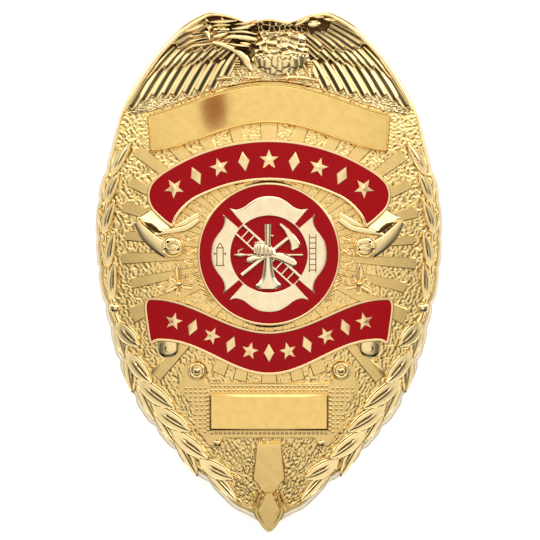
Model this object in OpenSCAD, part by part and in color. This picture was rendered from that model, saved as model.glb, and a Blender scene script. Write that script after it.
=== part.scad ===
// A firefighter's breast badge: a hollow-backed domed shield with an eagle
// crest, a name panel, two enamelled ribbons, a round seal and a number plate.
// It lies face up: X is its width, +Y is its top and Z = 0 is its rim's foot.

/* [Shield] */
// Width of the badge across its laurel border
badge_w = 50.8; // [47:0.1:58]
// Height of the badge from the spear tip to the eagle's shoulders
badge_h = 76.2; // [70:0.1:86]
// Height of the edge wall at the badge's tips
edge_h = 2.0; // [1.6:0.1:3]
// Radius of the dome across the badge
dome_rx = 90; // [75:1:120]
// Radius of the dome along the badge
dome_ry = 202; // [170:1:260]
// Thickness of the domed wall
roof_t = 1.6; // [1.2:0.05:2]
// Thickness of the wall round the hollow back
wall_t = 1.6; // [1.2:0.05:2.2]
// Width of the low step that runs round the edge
step_w = 0.45; // [0.3:0.05:0.7]
// Depth of that step below the field
step_d = 0.7; // [0.4:0.05:1]
// Gap between one piece and the piece that it is seated on
seat_gap = 0.05; // [0.03:0.01:0.1]

/* [Rays] */
// Height of the rays above the field
ray_h = 0.35; // [0.2:0.05:0.5]
// Width of a side ray at its outer end
ray_w = 1.85; // [1.2:0.05:2.2]
// Length of the longest ray beyond the seal's rim
ray_len = 14.1; // [12.5:0.1:14.6]

/* [Laurel border] */
// Length of the inner leaves that point up
leaf_up_l = 5.5; // [4.9:0.1:5.9]
// Length of the inner leaves that point down
leaf_down_l = 6.9; // [6.2:0.1:7.3]
// Width of the widest laurel leaves
leaf_w = 2.6; // [2.2:0.05:2.8]
// Height of the leaves above the field
leaf_h = 0.8; // [0.6:0.05:1]
// Distance of the laurel's stem from the edge
stem_in = 1.9; // [1.7:0.05:2.2]

/* [Eagle crest] */
// Width of a wing feather
feather_w = 1.3; // [1.1:0.05:1.45]
// Height of the lowest feathers above the field
feather_h = 0.9; // [0.7:0.05:1.2]
// Rise from one tier of feathers to the next
tier_h = 0.35; // [0.25:0.05:0.45]
// Radius of the eagle's breast
breast_r = 4.3; // [3.8:0.1:4.6]
// Height of the breast above the field
breast_h = 2.3; // [1.8:0.1:2.6]

/* [Name panel] */
// Width of the name panel
panel_w = 35.6; // [32:0.1:37]
// Height of the name panel at its middle
panel_h = 5.85; // [5:0.05:6.2]
// Fall of the panel's upper edge from its middle to its ends
panel_drop = 4.45; // [3.8:0.05:4.8]
// Fall of the panel's lower edge
panel_low_drop = 4.15; // [3.4:0.05:4.4]
// Thickness of the name panel
panel_t = 0.75; // [0.6:0.05:1]
// Width of the raised bead round the name panel
panel_bead = 0.5; // [0.35:0.05:0.7]

/* [Ribbons] */
// Inner radius of the upper ribbon
upper_r = 22.2; // [21:0.1:24]
// Height of the upper ribbon between its edges
upper_h = 5.95; // [5.2:0.05:6.3]
// Angle of the upper ribbon's ends from its middle
upper_a = 43.6; // [40:0.1:45]
// Half of the lower ribbon's length
lower_l = 18.2; // [17:0.1:18.8]
// Height of the lower ribbon at its middle
lower_h = 6.4; // [5.8:0.05:6.8]
// Rise of the lower ribbon from its middle to its ends
lower_rise = 4.9; // [4:0.1:5.4]
// Thickness of the ribbons
ribbon_t = 0.95; // [0.8:0.05:1.2]
// Width of the gold rim round the enamel
ribbon_rim = 0.38; // [0.3:0.02:0.5]
// Depth of the enamel's bed below the rim
bed_d = 0.45; // [0.35:0.05:0.55]
// Distance of the enamel's face below the rim
enamel_d = 0.08; // [0.05:0.01:0.15]
// Radius of the stars on the ribbons
star_r = 1.5; // [1.2:0.05:1.7]
// Space between the seal and either ribbon
ribbon_gap = 0.3; // [0.2:0.05:0.5]

/* [Seal] */
// Radius of the round seal
seal_r = 10.4; // [9.8:0.05:10.8]
// Height of the seal's middle above the badge's middle
seal_y = 2.6; // [1.8:0.1:3.2]
// Thickness of the seal's rim
seal_t = 1.25; // [1:0.05:1.5]
// Width of the seal's rim
seal_rim = 0.34; // [0.25:0.01:0.45]
// Radius of the cross at its corners
cross_r = 8.9; // [8.6:0.05:9.3]
// Width of the slots between the arms of the cross, at their inner ends
slot_w = 0.85; // [0.6:0.05:1]
// Width of the slots at their outer ends
slot_out_w = 1.3; // [1:0.05:1.6]
// Radius of the enamelled circle inside the cross
emblem_r = 5.55; // [5.2:0.05:5.8]

/* [Number plate] */
// Width of the number plate
plate_w = 17.3; // [15:0.1:18.4]
// Height of the number plate
plate_h = 5.25; // [4.6:0.05:5.6]
// Thickness of the number plate
plate_t = 0.9; // [0.7:0.05:1.2]
// Height of the plate's cartouche above the field
cartouche_h = 0.5; // [0.4:0.05:0.6]

/* [Pin] */
// Radius of the pin's wire
pin_r = 0.6; // [0.5:0.05:0.8]
// Length of the pin between its two lugs
pin_l = 28; // [24:0.5:31]
// Height of the pin's middle above the rim's foot
pin_z = 1.3; // [1.1:0.1:1.5]
// Width of a lug
lug_w = 2.6; // [2:0.1:3.4]
// Distance of the pin from the badge's middle
pin_y = 9; // [4:0.5:12]

/* [Hidden] */

half_w = badge_w / 2;
half_h = badge_h / 2;
// The field's highest point, where the dome starts from the tips' edge wall
apex_z = edge_h + dome_ry - sqrt(dome_ry * dome_ry - half_h * half_h);
sky_z = apex_z + 6;
dome_deep = 14;
dome_side = half_w + 6;
dome_arc = asin((half_h + 6) / dome_ry);
dome_fn = 256;
// Applied pieces are seated on the rays
seat_h = ray_h + seat_gap;
gold = [0.85, 0.68, 0.32];
pale_gold = [0.95, 0.88, 0.66];
enamel_red = [0.62, 0.05, 0.08];

// The right half of the badge's outline from its top to its tip
// columns: share of the half width, share of the half height
OUTLINE = [
    [0, 0.975], [0.12, 0.962], [0.21, 0.985], [0.32, 1], [0.385, 0.992], [0.485, 0.953],
    [0.59, 0.888], [0.68, 0.818], [0.77, 0.727], [0.836, 0.645], [0.884, 0.55],
    [0.937, 0.412], [0.978, 0.325], [1, 0.18], [0.993, 0.06], [0.975, -0.05],
    [0.942, -0.147], [0.9, -0.27], [0.858, -0.365], [0.799, -0.457], [0.72, -0.549],
    [0.605, -0.643], [0.472, -0.742], [0.322, -0.83], [0.212, -0.901], [0.13, -0.93],
    [0.065, -0.955], [0.04, -0.98], [0, -1]
];
// The hollow back stops short of the narrow tip, at this share of the half height
HOLLOW_END = -0.92;
// The same edge from the tip up to the wings, its height share first, for lookup
EDGE = [for (i = [len(OUTLINE) - 1 : -1 : 7]) [OUTLINE[i][1], OUTLINE[i][0]]];

// The rays of one side
// columns: angle from straight up, share of the side rays' width, share of the length
RAYS = [
    [0, 1.86, 0.85], [14.6, 1.42, 0.85], [29.3, 1.4, 0.85], [41.3, 1.4, 0.85], [52.6, 1.12, 1],
    [62.9, 0.98, 0.894], [72.8, 1.12, 0.851], [83.4, 0.98, 0.766], [92.6, 1.12, 0.787],
    [102.9, 1.12, 0.716], [114.3, 1.49, 0.823], [137.6, 1.12, 0.99], [156.6, 1.53, 0.6],
    [166.9, 1.44, 0.6], [180, 1.68, 0.6]
];

// The pairs of laurel leaves, first those that point up and then those that point down
// columns: height of the foot as a share of the half height, its share of stem_in,
// share of the length and lean in degrees of the inner leaf, the same of the outer leaf
LEAVES_UP = [
    [0.38, 0.68, 1.02, 12, 0.76, -8], [0.265, 0.68, 0.93, 17, 0.66, -9],
    [0.145, 0.66, 0.97, 19, 0.7, -12], [0.012, 0.74, 1.02, 16, 0.75, -8],
    [-0.115, 0.66, 1.04, 16, 0.77, -5]
];
LEAVES_DOWN = [
    [-0.201, 0.63, 0.71, 31, 0.78, 0], [-0.32, 0.9, 0.87, 21, 0.88, -11],
    [-0.433, 0.9, 1.05, 22, 0.99, -7], [-0.543, 1, 0.99, 20, 0.93, -6],
    [-0.638, 1, 0.99, 13, 1.13, -11], [-0.756, 1, 0.86, 14, 1.22, -6]
];
// Widths as shares of leaf_w: inner and outer leaves that point up, then those that point down
UP_WIDTHS = [0.58, 0.43];
DOWN_WIDTHS = [1, 0.77];
KNOT_AT = -0.145;

// Outline of a laurel leaf: share of its length, share of its half width
LEAF_FORM = [[0, 0.3], [0.15, 0.7], [0.4, 1], [0.65, 0.85], [0.85, 0.45], [1, 0]];
// Outline of a feather: share of its length, share of its half width
FEATHER_FORM = [[0, 0.8], [0.4, 1], [0.8, 1], [0.93, 0.75], [1, 0.3]];

// The wing's tiers, from the primaries up to the shoulder
// columns: feathers, first and last tip as shares of the half width and height,
// sag of the row of tips, slope from level in degrees for the first and last,
// length of the first and last as shares of the half height
TIERS = [
    [9, 0.255, 0.735, 0.815, 0.62, -0.025, 63, 59, 0.13, 0.2],
    [7, 0.28, 0.8, 0.68, 0.762, 0.01, 52, 51, 0.11, 0.14],
    [6, 0.3, 0.853, 0.58, 0.868, 0, 42, 34, 0.09, 0.14]
];
// Smooth ovals on the shoulder: centre in shares, length, slope
OVALS = [[0.19, 0.955, 2.4, 35], [0.255, 0.945, 2.6, 20], [0.29, 0.977, 1.9, -3], [0.35, 0.965, 1.9, -12]];

function unit(v) = v / norm(v);
function place(sx, sy) = [sx * half_w, sy * half_h];
function flip(p) = [-p[0], p[1]];
function turned(p, a) = [p[0] * cos(a) - p[1] * sin(a), p[0] * sin(a) + p[1] * cos(a)];
function edge_x(y) = half_w * lookup(y / half_h, EDGE);

// A closed clockwise outline from its right half, which runs from top to bottom
function both(half) = concat(
    half,
    [for (i = [len(half) - 1 : -1 : 0]) if (half[i][0] > 0.001) flip(half[i])]
);

// A clockwise outline moved inwards by d
function inset(p, d) = let (n = len(p)) [
    for (i = [0 : n - 1])
        let (
            u = unit(p[i] - p[(i + n - 1) % n]),
            v = unit(p[(i + 1) % n] - p[i]),
            m = unit([u[1] + v[1], -(u[0] + v[0])]),
            k = max(0.45, m * [u[1], -u[0]])
        )
        p[i] + m * d / k
];

// A leaf or feather from a to b, w wide, its half width taken from a form table
function blade(a, b, w, form) = let (d = b - a, n = [-d[1], d[0]] / norm(d)) concat(
    [for (f = form) a + d * f[0] + n * f[1] * w / 2],
    [for (i = [len(form) - 1 : -1 : 0]) if (form[i][1] > 0) a + d * form[i][0] - n * form[i][1] * w / 2]
);

// A strip along a path, with a width for each end
function strip(path, w0, w1) = let (n = len(path)) concat(
    [for (i = [0 : n - 1]) path[i] + side(path, i) * (w0 + (w1 - w0) * i / (n - 1)) / 2],
    [for (i = [n - 1 : -1 : 0]) path[i] - side(path, i) * (w0 + (w1 - w0) * i / (n - 1)) / 2]
);
function side(path, i) = let (
    d = unit(path[min(i + 1, len(path) - 1)] - path[max(i - 1, 0)])
) [-d[1], d[0]];

// A point at an angle from level, a distance beyond the seal's rim
function beyond(d, a) = [0, seal_y] + (seal_r + d) * [cos(a), sin(a)];

body_outline = both([for (p = OUTLINE) place(p[0], p[1])]);
hollow_outline = both([
    for (i = [0 : len(OUTLINE) - 1])
        if (OUTLINE[i][1] > HOLLOW_END) inset(body_outline, wall_t)[i]
]);

// Everything under the field's domed surface, raised by h
module dome(h) {
    translate([0, 0, apex_z - dome_ry])
        rotate([0, -90, 0])
        rotate([0, 0, -dome_arc])
        rotate_extrude(angle = 2 * dome_arc, $fn = dome_fn)
        intersection() {
            translate([dome_ry - dome_rx, 0])
                circle(r = dome_rx + h);
            translate([dome_ry - dome_deep, -dome_side])
                square([dome_deep + h + 1, 2 * dome_side]);
        }
}

// A flat shape carried up to a level above the field
module rise(h) {
    intersection() {
        linear_extrude(height = sky_z)
            children();
        dome(h);
    }
}

// A flat shape between two levels above the field
module slab(low, high) {
    difference() {
        rise(high)
            children();
        dome(low);
    }
}

// Shield body: domed casting with its rays, laurel, cartouche and spear

// Each ray is a wedge that widens evenly from the seal's middle
module ray_plan() {
    foot = seal_r - 2;
    for (r = RAYS)
        let (end = seal_r + ray_len * r[2], spread = ray_w / 2 * r[1] / (seal_r + ray_len))
        rotate(-r[0])
            polygon([
                [-spread * foot, foot], [-spread * end, end], [spread * end, end], [spread * foot, foot]
            ]);
}

// Direction of the edge at a height, away from the badge's middle line
function edge_way(y, up) = let (d = up * 0.04 * half_h)
    unit([edge_x(y + d) - edge_x(y - d), 2 * d]);

function stem(y, share) = let (t = edge_way(y, 1)) [edge_x(y), y] + stem_in * share * [-t[1], t[0]];

module leaf(foot, way, l, w) {
    polygon(blade(foot, foot + l * way, w, LEAF_FORM));
}

// One side's leaves: the inner leaf of each pair for which = 0, the outer one for which = 1
module laurel_plan(which) {
    for (s = LEAVES_UP)
        leaf(
            stem(s[0] * half_h, s[1]),
            turned(edge_way(s[0] * half_h, 1), s[3 + 2 * which]),
            leaf_up_l * s[2 + 2 * which],
            leaf_w * UP_WIDTHS[which]
        );
    for (s = LEAVES_DOWN)
        leaf(
            stem(s[0] * half_h, s[1]),
            turned(edge_way(s[0] * half_h, -1), -s[3 + 2 * which]),
            leaf_down_l * s[2 + 2 * which],
            leaf_w * DOWN_WIDTHS[which]
        );
    translate(stem(KNOT_AT * half_h, 0.7))
        circle(r = leaf_w * 0.35, $fn = 24);
}

module sprig_plan() {
    for (i = [0 : 5])
        for (lean = [32, -38])
            let (a = 14 - i * 9, foot = beyond(1.3, a))
            polygon(blade(foot, foot + 1.7 * [cos(a + 90 + lean), sin(a + 90 + lean)], 0.75, LEAF_FORM));
    for (a = [85, 215, 335])
        polygon(blade(
            beyond(3.5, -16),
            beyond(3.5, -16) + 2.6 * [cos(a), sin(a)],
            1.3,
            LEAF_FORM
        ));
    translate(beyond(3.5, -16))
        circle(r = 0.6, $fn = 24);
}

lower_y = seal_y - seal_r - ribbon_gap - 0.5;
plate_top = lower_y - lower_h - 2.8;
plate_y = plate_top - plate_h / 2;
tab_top = plate_top - plate_h - 1.85;

// Right half of the cartouche round the number plate, from its top middle
// columns: distance beyond the plate's half width and from its middle line
CARTOUCHE = [
    [0.3, 4.3], [0.9, 4.9], [1.5, 6.6], [2.6, 7.4], [3.9, 6.7], [3.6, 4.9],
    [4.7, 3.7], [2.3, 0.5], [2.5, -0.5], [2.0, -2.4], [0.9, -3.7], [0.2, -4.9], [-1.2, -5.2], [-2, -3.8]
];

module cartouche_plan() {
    polygon(both(concat(
        [[0, plate_y + plate_h / 2 + 1.95]],
        [for (p = CARTOUCHE) [plate_w / 2 + p[0], plate_y + p[1] * plate_h / 5.25]],
        [[0, plate_y - plate_h / 2 - 1.2]]
    )));
}

// Right half of the tab and the spear point under the number plate
// columns: share of the length to the badge's tip, half width
TAB = [[0, 1.75], [0.39, 2.3], [0.6, 0.35], [0.64, 0.35], [0.765, 1.7], [0.93, 0.5]];

module tab_plan() {
    polygon(both([for (t = TAB) [t[1], tab_top + (-half_h - tab_top) * t[0]]]));
}

module shield_body() {
    color(gold)
        difference() {
            union() {
                rise(-step_d)
                    polygon(body_outline);
                rise(0)
                    polygon(inset(body_outline, step_w));
                rise(ray_h)
                    translate([0, seal_y])
                    union() {
                        ray_plan();
                        mirror([1, 0])
                            ray_plan();
                    }
                for (side = [0, 1])
                    mirror([side, 0, 0]) {
                        rise(leaf_h)
                            laurel_plan(0);
                        rise(leaf_h * 0.75)
                            laurel_plan(1);
                        rise(ray_h + 0.15)
                            sprig_plan();
                    }
                rise(cartouche_h)
                    cartouche_plan();
                rise(cartouche_h + 0.2)
                    tab_plan();
            }
            intersection() {
                translate([0, 0, -1])
                    linear_extrude(height = sky_z)
                    polygon(hollow_outline);
                dome(-roof_t);
            }
        }
}

// Eagle crest: spread wings in three tiers, breast, neck and head, claws on arrows

upper_y = seal_y + seal_r + ribbon_gap;
panel_y = upper_y + upper_h + 2.4;

// Fall of an edge of the panel, part of a cosine wave that swings by an angle to the end
function panel_fall(x, drop, swing) = drop * (1 - cos(swing * x * 2 / panel_w)) / (1 - cos(swing));
function panel_top(x) = panel_y + panel_h - panel_fall(x, panel_drop, 145);
function panel_foot(x) = panel_y - panel_fall(x, panel_low_drop, 175);
function mix(a, b, f) = a + (b - a) * f;
function dome_z(p) = apex_z - dome_ry + sqrt(
    pow(sqrt(dome_rx * dome_rx - p[0] * p[0]) + dome_ry - dome_rx, 2) - p[1] * p[1]
);
function lifted(p, h) = [p[0], p[1], dome_z(p) + h];

// Height of the ground that the wings lie on, which ends a gap above the name panel
ground_h = 0.35;
module crest_ground() {
    intersection() {
        polygon(inset(body_outline, step_w / 2));
        polygon(both(concat(
            [[0, half_h + 1], [half_w, half_h + 1], [half_w, half_h * 0.585]],
            [for (i = [10 : -1 : 0]) [panel_w * i / 20, panel_top(panel_w * i / 20) + 0.3]]
        )));
    }
}

module tier_plan(t) {
    row = TIERS[t];
    for (i = [0 : row[0] - 1])
        let (
            f = i / (row[0] - 1),
            tip = place(mix(row[1], row[3], f), mix(row[2], row[4], f) + row[5] * 4 * f * (1 - f)),
            a = mix(row[6], row[7], f),
            l = mix(row[8], row[9], f) * half_h
        )
        polygon(blade(tip + l * [-cos(a), sin(a)], tip, feather_w, FEATHER_FORM));
}

// The wing's tiers overlap like slates, each starting inside the one below
module wing() {
    for (t = [0 : 2])
        slab(t == 0 ? ground_h - 0.05 : feather_h + (t - 1.2) * tier_h, feather_h + t * tier_h)
        intersection() {
            tier_plan(t);
            crest_ground();
        }
    slab(ground_h - 0.05, feather_h + 3 * tier_h)
        intersection() {
            for (o = OVALS)
                polygon(blade(
                    place(o[0], o[1]) - o[2] / 2 * [cos(o[3]), sin(o[3])],
                    place(o[0], o[1]) + o[2] / 2 * [cos(o[3]), sin(o[3])],
                    1.1,
                    FEATHER_FORM
                ));
            crest_ground();
        }
    // The leading edge, a smooth band along the shoulder
    slab(ground_h - 0.05, feather_h + 2.5 * tier_h)
        intersection() {
            polygon(strip([for (i = [2 : 7]) place(OUTLINE[i][0] - 0.01, OUTLINE[i][1] - 0.01)], 1.1, 0.9));
            crest_ground();
        }
}

module rod(a, b, r1, r2) {
    d = b - a;
    translate(a)
        rotate([0, acos(d[2] / norm(d)), atan2(d[1], d[0])])
        cylinder(r1 = r1, r2 = r2, h = norm(d), $fn = 48);
}

breast = place(0.045, 0.862);
head = place(-0.33, 0.922);
// Smooth lobes of the neck: start and end in shares
HACKLES = [[-0.28, 0.946, 0.05, 0.93], [-0.27, 0.925, 0.06, 0.89], [-0.27, 0.902, 0.03, 0.85]];

module eagle_body() {
    translate(lifted(breast, breast_h - breast_r))
        sphere(r = breast_r, $fn = 96);
    for (h = HACKLES)
        rod(lifted(place(h[0], h[1]), 1.2), lifted(place(h[2], h[3]), 0.9), 0.6, 0.95);
    translate(lifted(head, 0.9))
        sphere(r = 1.35, $fn = 64);
    rod(lifted(head + [-0.8, -0.2], 1.3), lifted(head + [-2.3, -1.3], 0.9), 0.75, 0.25);
}

// The arrows under the claws, and the claws' toes
module claws() {
    claw_y = panel_top(0) + 0.75;
    slab(ground_h - 0.05, feather_h + 0.2)
        polygon(strip([[-7.4, claw_y - 0.2], [0, claw_y], [7.4, claw_y - 0.2]], 0.8, 0.8));
    slab(feather_h, feather_h + 2 * tier_h)
        for (x = [-3.2, -2.2, 2, 3])
            polygon(strip([[x, claw_y + 1.8], [x - 0.3, claw_y - 0.5]], 0.8, 0.5));
}

module eagle_crest() {
    color(gold)
        union() {
            slab(seat_gap, ground_h)
                crest_ground();
            wing();
            mirror([1, 0, 0])
                wing();
            difference() {
                eagle_body();
                dome(ground_h - 0.1);
            }
            claws();
        }
}

// Name panel: plain arched plate with a raised bead round it

panel_outline = both(concat(
    [for (i = [0 : 12]) let (x = panel_w * i / 24) [x, panel_top(x)]],
    [for (i = [12 : -1 : 0]) let (x = (panel_w / 2 - 0.5) * i / 12) [x, panel_foot(x)]]
));

module name_panel() {
    color(gold)
        difference() {
            union() {
                rise(seat_h + panel_t)
                    polygon(panel_outline);
                rise(seat_h + panel_t + 0.2)
                    difference() {
                        polygon(panel_outline);
                        polygon(inset(panel_outline, panel_bead));
                    }
            }
            dome(seat_h);
        }
}

// Ribbons: gold bands with a bed for the enamel and raised stars and lozenges

upper_cy = upper_y - upper_r;
function round_upper(h, f) = [0, upper_cy]
    + (upper_r + h * upper_h) * [sin(f * upper_a), cos(f * upper_a)];

// The upper ribbon's right end, from its top edge to its bottom edge
// columns: share of its height, share of its end angle
UPPER_END = [
    [1, 0.79], [0.96, 0.87], [0.85, 0.93], [0.7, 0.97], [0.47, 1], [0.2, 1],
    [-0.07, 0.99], [-0.22, 0.965], [-0.12, 0.88], [-0.04, 0.77], [0, 0.66]
];
upper_outline = both(concat(
    [for (i = [0 : 7]) round_upper(1, 0.1 * i)],
    [for (p = UPPER_END) round_upper(p[0], p[1])],
    [for (i = [6 : -1 : 0]) round_upper(0, 0.09 * i)]
));

// The lower ribbon's right end: share of its half length, share of its rise
LOWER_END = [[0.968, 0.985], [0.99, 0.9], [1, 0.7], [0.985, 0.22], [0.955, -0.36], [0.89, -0.31]];
function lower_edge(h, f, swing) = [
    f * lower_l,
    lower_y - h * lower_h + lower_rise * (1 - cos(180 * f / swing)) / 2
];
lower_outline = both(concat(
    [for (i = [0 : 9]) lower_edge(0, 0.104 * i, 0.936)],
    [for (p = LOWER_END) [p[0] * lower_l, lower_y + p[1] * lower_rise]],
    [for (i = [9 : -1 : 0]) lower_edge(1, 0.093 * i, 0.852)]
));

function star(r) = [for (i = [0 : 9]) let (k = i % 2 == 0 ? r : r * 0.42) k * [sin(i * 36), cos(i * 36)]];
function lozenge(r) = [[0, r], [r * 0.55, 0], [0, -r], [-r * 0.55, 0]];

// A star at even places and a lozenge at odd ones
module motif(i, r) {
    polygon(i % 2 == 0 ? star(r) : lozenge(r));
}

module upper_motifs(grow) {
    for (i = [0 : 8])
        translate([0, upper_cy])
            rotate((4 - i) * upper_a * 0.19)
            translate([0, upper_r + upper_h / 2])
            motif(i, star_r + grow);
}

module lower_motifs(grow) {
    for (i = [0 : 10])
        let (
            f = (i - 5) * 0.152,
            low = lower_edge(1, f, 0.852),
            high = lower_edge(0, f, 0.936),
            next = lower_edge(0.5, f + 0.01, 0.9) - lower_edge(0.5, f, 0.9)
        )
        translate((low + high) / 2)
            rotate(atan2(next[1], next[0]))
            motif(i, star_r * 0.9 + grow);
}

// The strap behind the upper ribbon's end, its curl and its thin tail
module scroll_tail() {
    polygon([
        round_upper(0.5, 0.985), beyond(10, 14.9), beyond(9.7, 12.6), beyond(7.6, 4.5), beyond(5.5, -1.2),
        beyond(4.1, -3), beyond(2.5, 0), beyond(3.2, 2.5), beyond(5, 4), beyond(6.4, 8.5), round_upper(0.05, 0.96)
    ]);
    translate(beyond(3.5, 5.6))
        difference() {
            circle(r = 1.8, $fn = 48);
            circle(r = 0.85, $fn = 32);
        }
    polygon(strip([beyond(7.2, 9.2), beyond(4.6, 10.6), beyond(2.3, 16.6), beyond(1.05, 29)], 1.5, 0.8));
}

module ribbon(outline, top) {
    difference() {
        union() {
            rise(top - bed_d)
                polygon(outline);
            rise(top)
                difference() {
                    polygon(outline);
                    polygon(inset(outline, ribbon_rim));
                }
            rise(top)
                children(0);
            rise(top - 0.1)
                children(1);
        }
        dome(seat_h);
    }
}

module enamel(outline, top) {
    slab(top - bed_d + seat_gap, top - enamel_d)
        difference() {
            polygon(inset(outline, ribbon_rim + seat_gap));
            children();
        }
}

module upper_ribbon() {
    color(gold)
        ribbon(upper_outline, seat_h + ribbon_t) {
            upper_motifs(0);
            difference() {
                union() {
                    scroll_tail();
                    mirror([1, 0])
                        scroll_tail();
                }
                polygon(inset(upper_outline, ribbon_rim / 2));
            }
        }
}

module upper_enamel() {
    color(enamel_red)
        enamel(upper_outline, seat_h + ribbon_t)
        upper_motifs(3 * seat_gap);
}

module curl_plan() {
    for (s = [-1, 1])
        translate([s * lower_l * 0.813, lower_y - lower_h + lower_rise - 0.8])
            circle(r = 1.4, $fn = 48);
}

module lower_ribbon() {
    color(gold)
        ribbon(lower_outline, seat_h + ribbon_t) {
            lower_motifs(0);
            difference() {
                curl_plan();
                polygon(inset(lower_outline, ribbon_rim / 2));
            }
        }
}

module lower_enamel() {
    color(enamel_red)
        enamel(lower_outline, seat_h + ribbon_t)
        lower_motifs(3 * seat_gap);
}

// Seal: disc with a rim, a cross with four flared arms, and crossed tools

seal_top = seat_h + seal_t;
seal_bed = seal_top - bed_d;
// Height of the emblem's tools above its enamel
tool_t = 0.22;
// Edge of an arm of the cross, from its middle to a corner
// columns: angle from the arm's middle, share of the corner's radius
ARM = [[0, 0.948], [10, 0.938], [20, 0.897], [27, 0.87], [33, 0.88], [38, 0.925], [41.5, 1]];
cross_outline = [
    for (arm = [0 : 3])
        for (i = [1 - len(ARM) : len(ARM) - 1])
            let (p = ARM[abs(i)], a = arm * 90 + sign(i) * p[0])
            p[1] * cross_r * [sin(a), cos(a)]
];
slot_from = emblem_r + 0.25;

module slots(shrink) {
    w = slot_w / 2 - shrink;
    out_w = slot_out_w / 2 - shrink;
    for (arm = [0 : 3])
        rotate(45 + arm * 90)
            polygon([
                [-w, slot_from + shrink], [-out_w, cross_r + 0.3],
                [out_w, cross_r + 0.3], [w, slot_from + shrink]
            ]);
}

// A flat shape drawn about the seal's middle, carried up to a level
module seal_rise(h) {
    rise(h)
        translate([0, seal_y])
        children();
}

module seal_disc() {
    color(pale_gold)
        difference() {
            union() {
                seal_rise(seal_bed)
                    circle(r = seal_r, $fn = 128);
                seal_rise(seal_top)
                    difference() {
                        circle(r = seal_r, $fn = 128);
                        circle(r = seal_r - seal_rim, $fn = 128);
                    }
                seal_rise(seal_top)
                    difference() {
                        polygon(cross_outline);
                        slots(0);
                        circle(r = emblem_r, $fn = 96);
                    }
            }
            dome(seat_h);
        }
}

module seal_enamel() {
    color(enamel_red)
        slab(seal_bed + seat_gap, seal_top - enamel_d)
        translate([0, seal_y])
        difference() {
            circle(r = seal_r - seal_rim - seat_gap, $fn = 128);
            difference() {
                polygon(inset(cross_outline, -seat_gap));
                slots(seat_gap);
            }
        }
}

module emblem_enamel() {
    color(enamel_red)
        slab(seal_bed + seat_gap, seal_top - tool_t - seat_gap)
        translate([0, seal_y])
        circle(r = emblem_r - seat_gap, $fn = 96);
}

// The crossed tools: horn, axe, ladder and pike pole under a helmet
// Each is drawn in shares of the emblem's radius

function in_emblem(p) = emblem_r * p;
HORN = [
    [-0.12, 0.79], [0.07, 0.79], [0.05, 0.31], [0.09, -0.16], [0.12, -0.42], [0.17, -0.63],
    [0.25, -0.74], [0.34, -0.82], [0.27, -0.89], [-0.02, -0.92], [-0.31, -0.89], [-0.36, -0.81],
    [-0.26, -0.74], [-0.19, -0.62], [-0.15, -0.42], [-0.13, -0.16], [-0.11, 0.31]
];
AXE_HEAD = [
    [0.26, 0.78], [0.31, 0.81], [0.47, 0.69], [0.63, 0.53], [0.76, 0.35], [0.82, 0.24], [0.76, 0.16],
    [0.66, 0.1], [0.56, 0.1], [0.57, 0.2], [0.54, 0.32], [0.5, 0.34], [0.44, 0.42], [0.48, 0.53]
];
HELMET = [
    [-0.62, -0.19], [-0.55, -0.08], [-0.39, -0.03], [-0.39, 0.31], [-0.24, 0.33], [-0.11, 0.33],
    [0.03, 0.23], [0.12, 0.18], [0.2, 0.04], [0.4, 0.02], [0.55, -0.05], [0.69, -0.15],
    [0.72, -0.27], [0.62, -0.32], [0.4, -0.23], [0.2, -0.15], [0, -0.1], [-0.17, -0.12],
    [-0.39, -0.19], [-0.56, -0.23]
];
HOOK = [[-0.8, 0], [-0.78, 0.09], [-0.66, 0.15]];
ladder_a = [-0.77, 0.65];
ladder_b = [0.71, -0.7];
ladder_w = 0.3;
rung_count = 9;

module tool_strip(path, w) {
    polygon(strip([for (p = path) in_emblem(p)], emblem_r * w, emblem_r * w));
}

module ladder_plan() {
    way = unit(ladder_b - ladder_a);
    out = ladder_w / 2 * [-way[1], way[0]];
    for (s = [-1, 1])
        tool_strip([ladder_a + s * out, ladder_b + s * out], 0.05);
    for (i = [0 : rung_count - 1])
        let (p = mix(ladder_a, ladder_b, (i + 0.5) / rung_count))
        tool_strip([p - out, p + out], 0.04);
}

module emblem_tools() {
    color(pale_gold)
        slab(seal_top - tool_t, seal_top)
        translate([0, seal_y])
        intersection() {
            union() {
                polygon([for (p = HORN) in_emblem(p)]);
                polygon([for (p = AXE_HEAD) in_emblem(p)]);
                polygon([for (p = HELMET) in_emblem(p)]);
                tool_strip([[-0.71, -0.55], [0.5, 0.42]], 0.11);
                tool_strip([[-0.9, -0.02], [0.88, -0.02]], 0.05);
                tool_strip(HOOK, 0.05);
                ladder_plan();
            }
            circle(r = emblem_r - 2 * seat_gap, $fn = 96);
        }
}

// Number plate: blank bevelled block seated on the cartouche

function box_outline(w, h) = [[-w / 2, h / 2], [w / 2, h / 2], [w / 2, -h / 2], [-w / 2, -h / 2]];

module number_plate() {
    color(gold)
        difference() {
            union() {
                rise(cartouche_h + plate_t / 2)
                    translate([0, plate_y])
                    polygon(box_outline(plate_w, plate_h));
                rise(cartouche_h + plate_t)
                    translate([0, plate_y])
                    polygon(box_outline(plate_w - plate_t, plate_h - plate_t));
            }
            dome(cartouche_h + seat_gap);
        }
}

// Pin: one plain piece in the hollow back, a bar with two lugs and the wire

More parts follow.
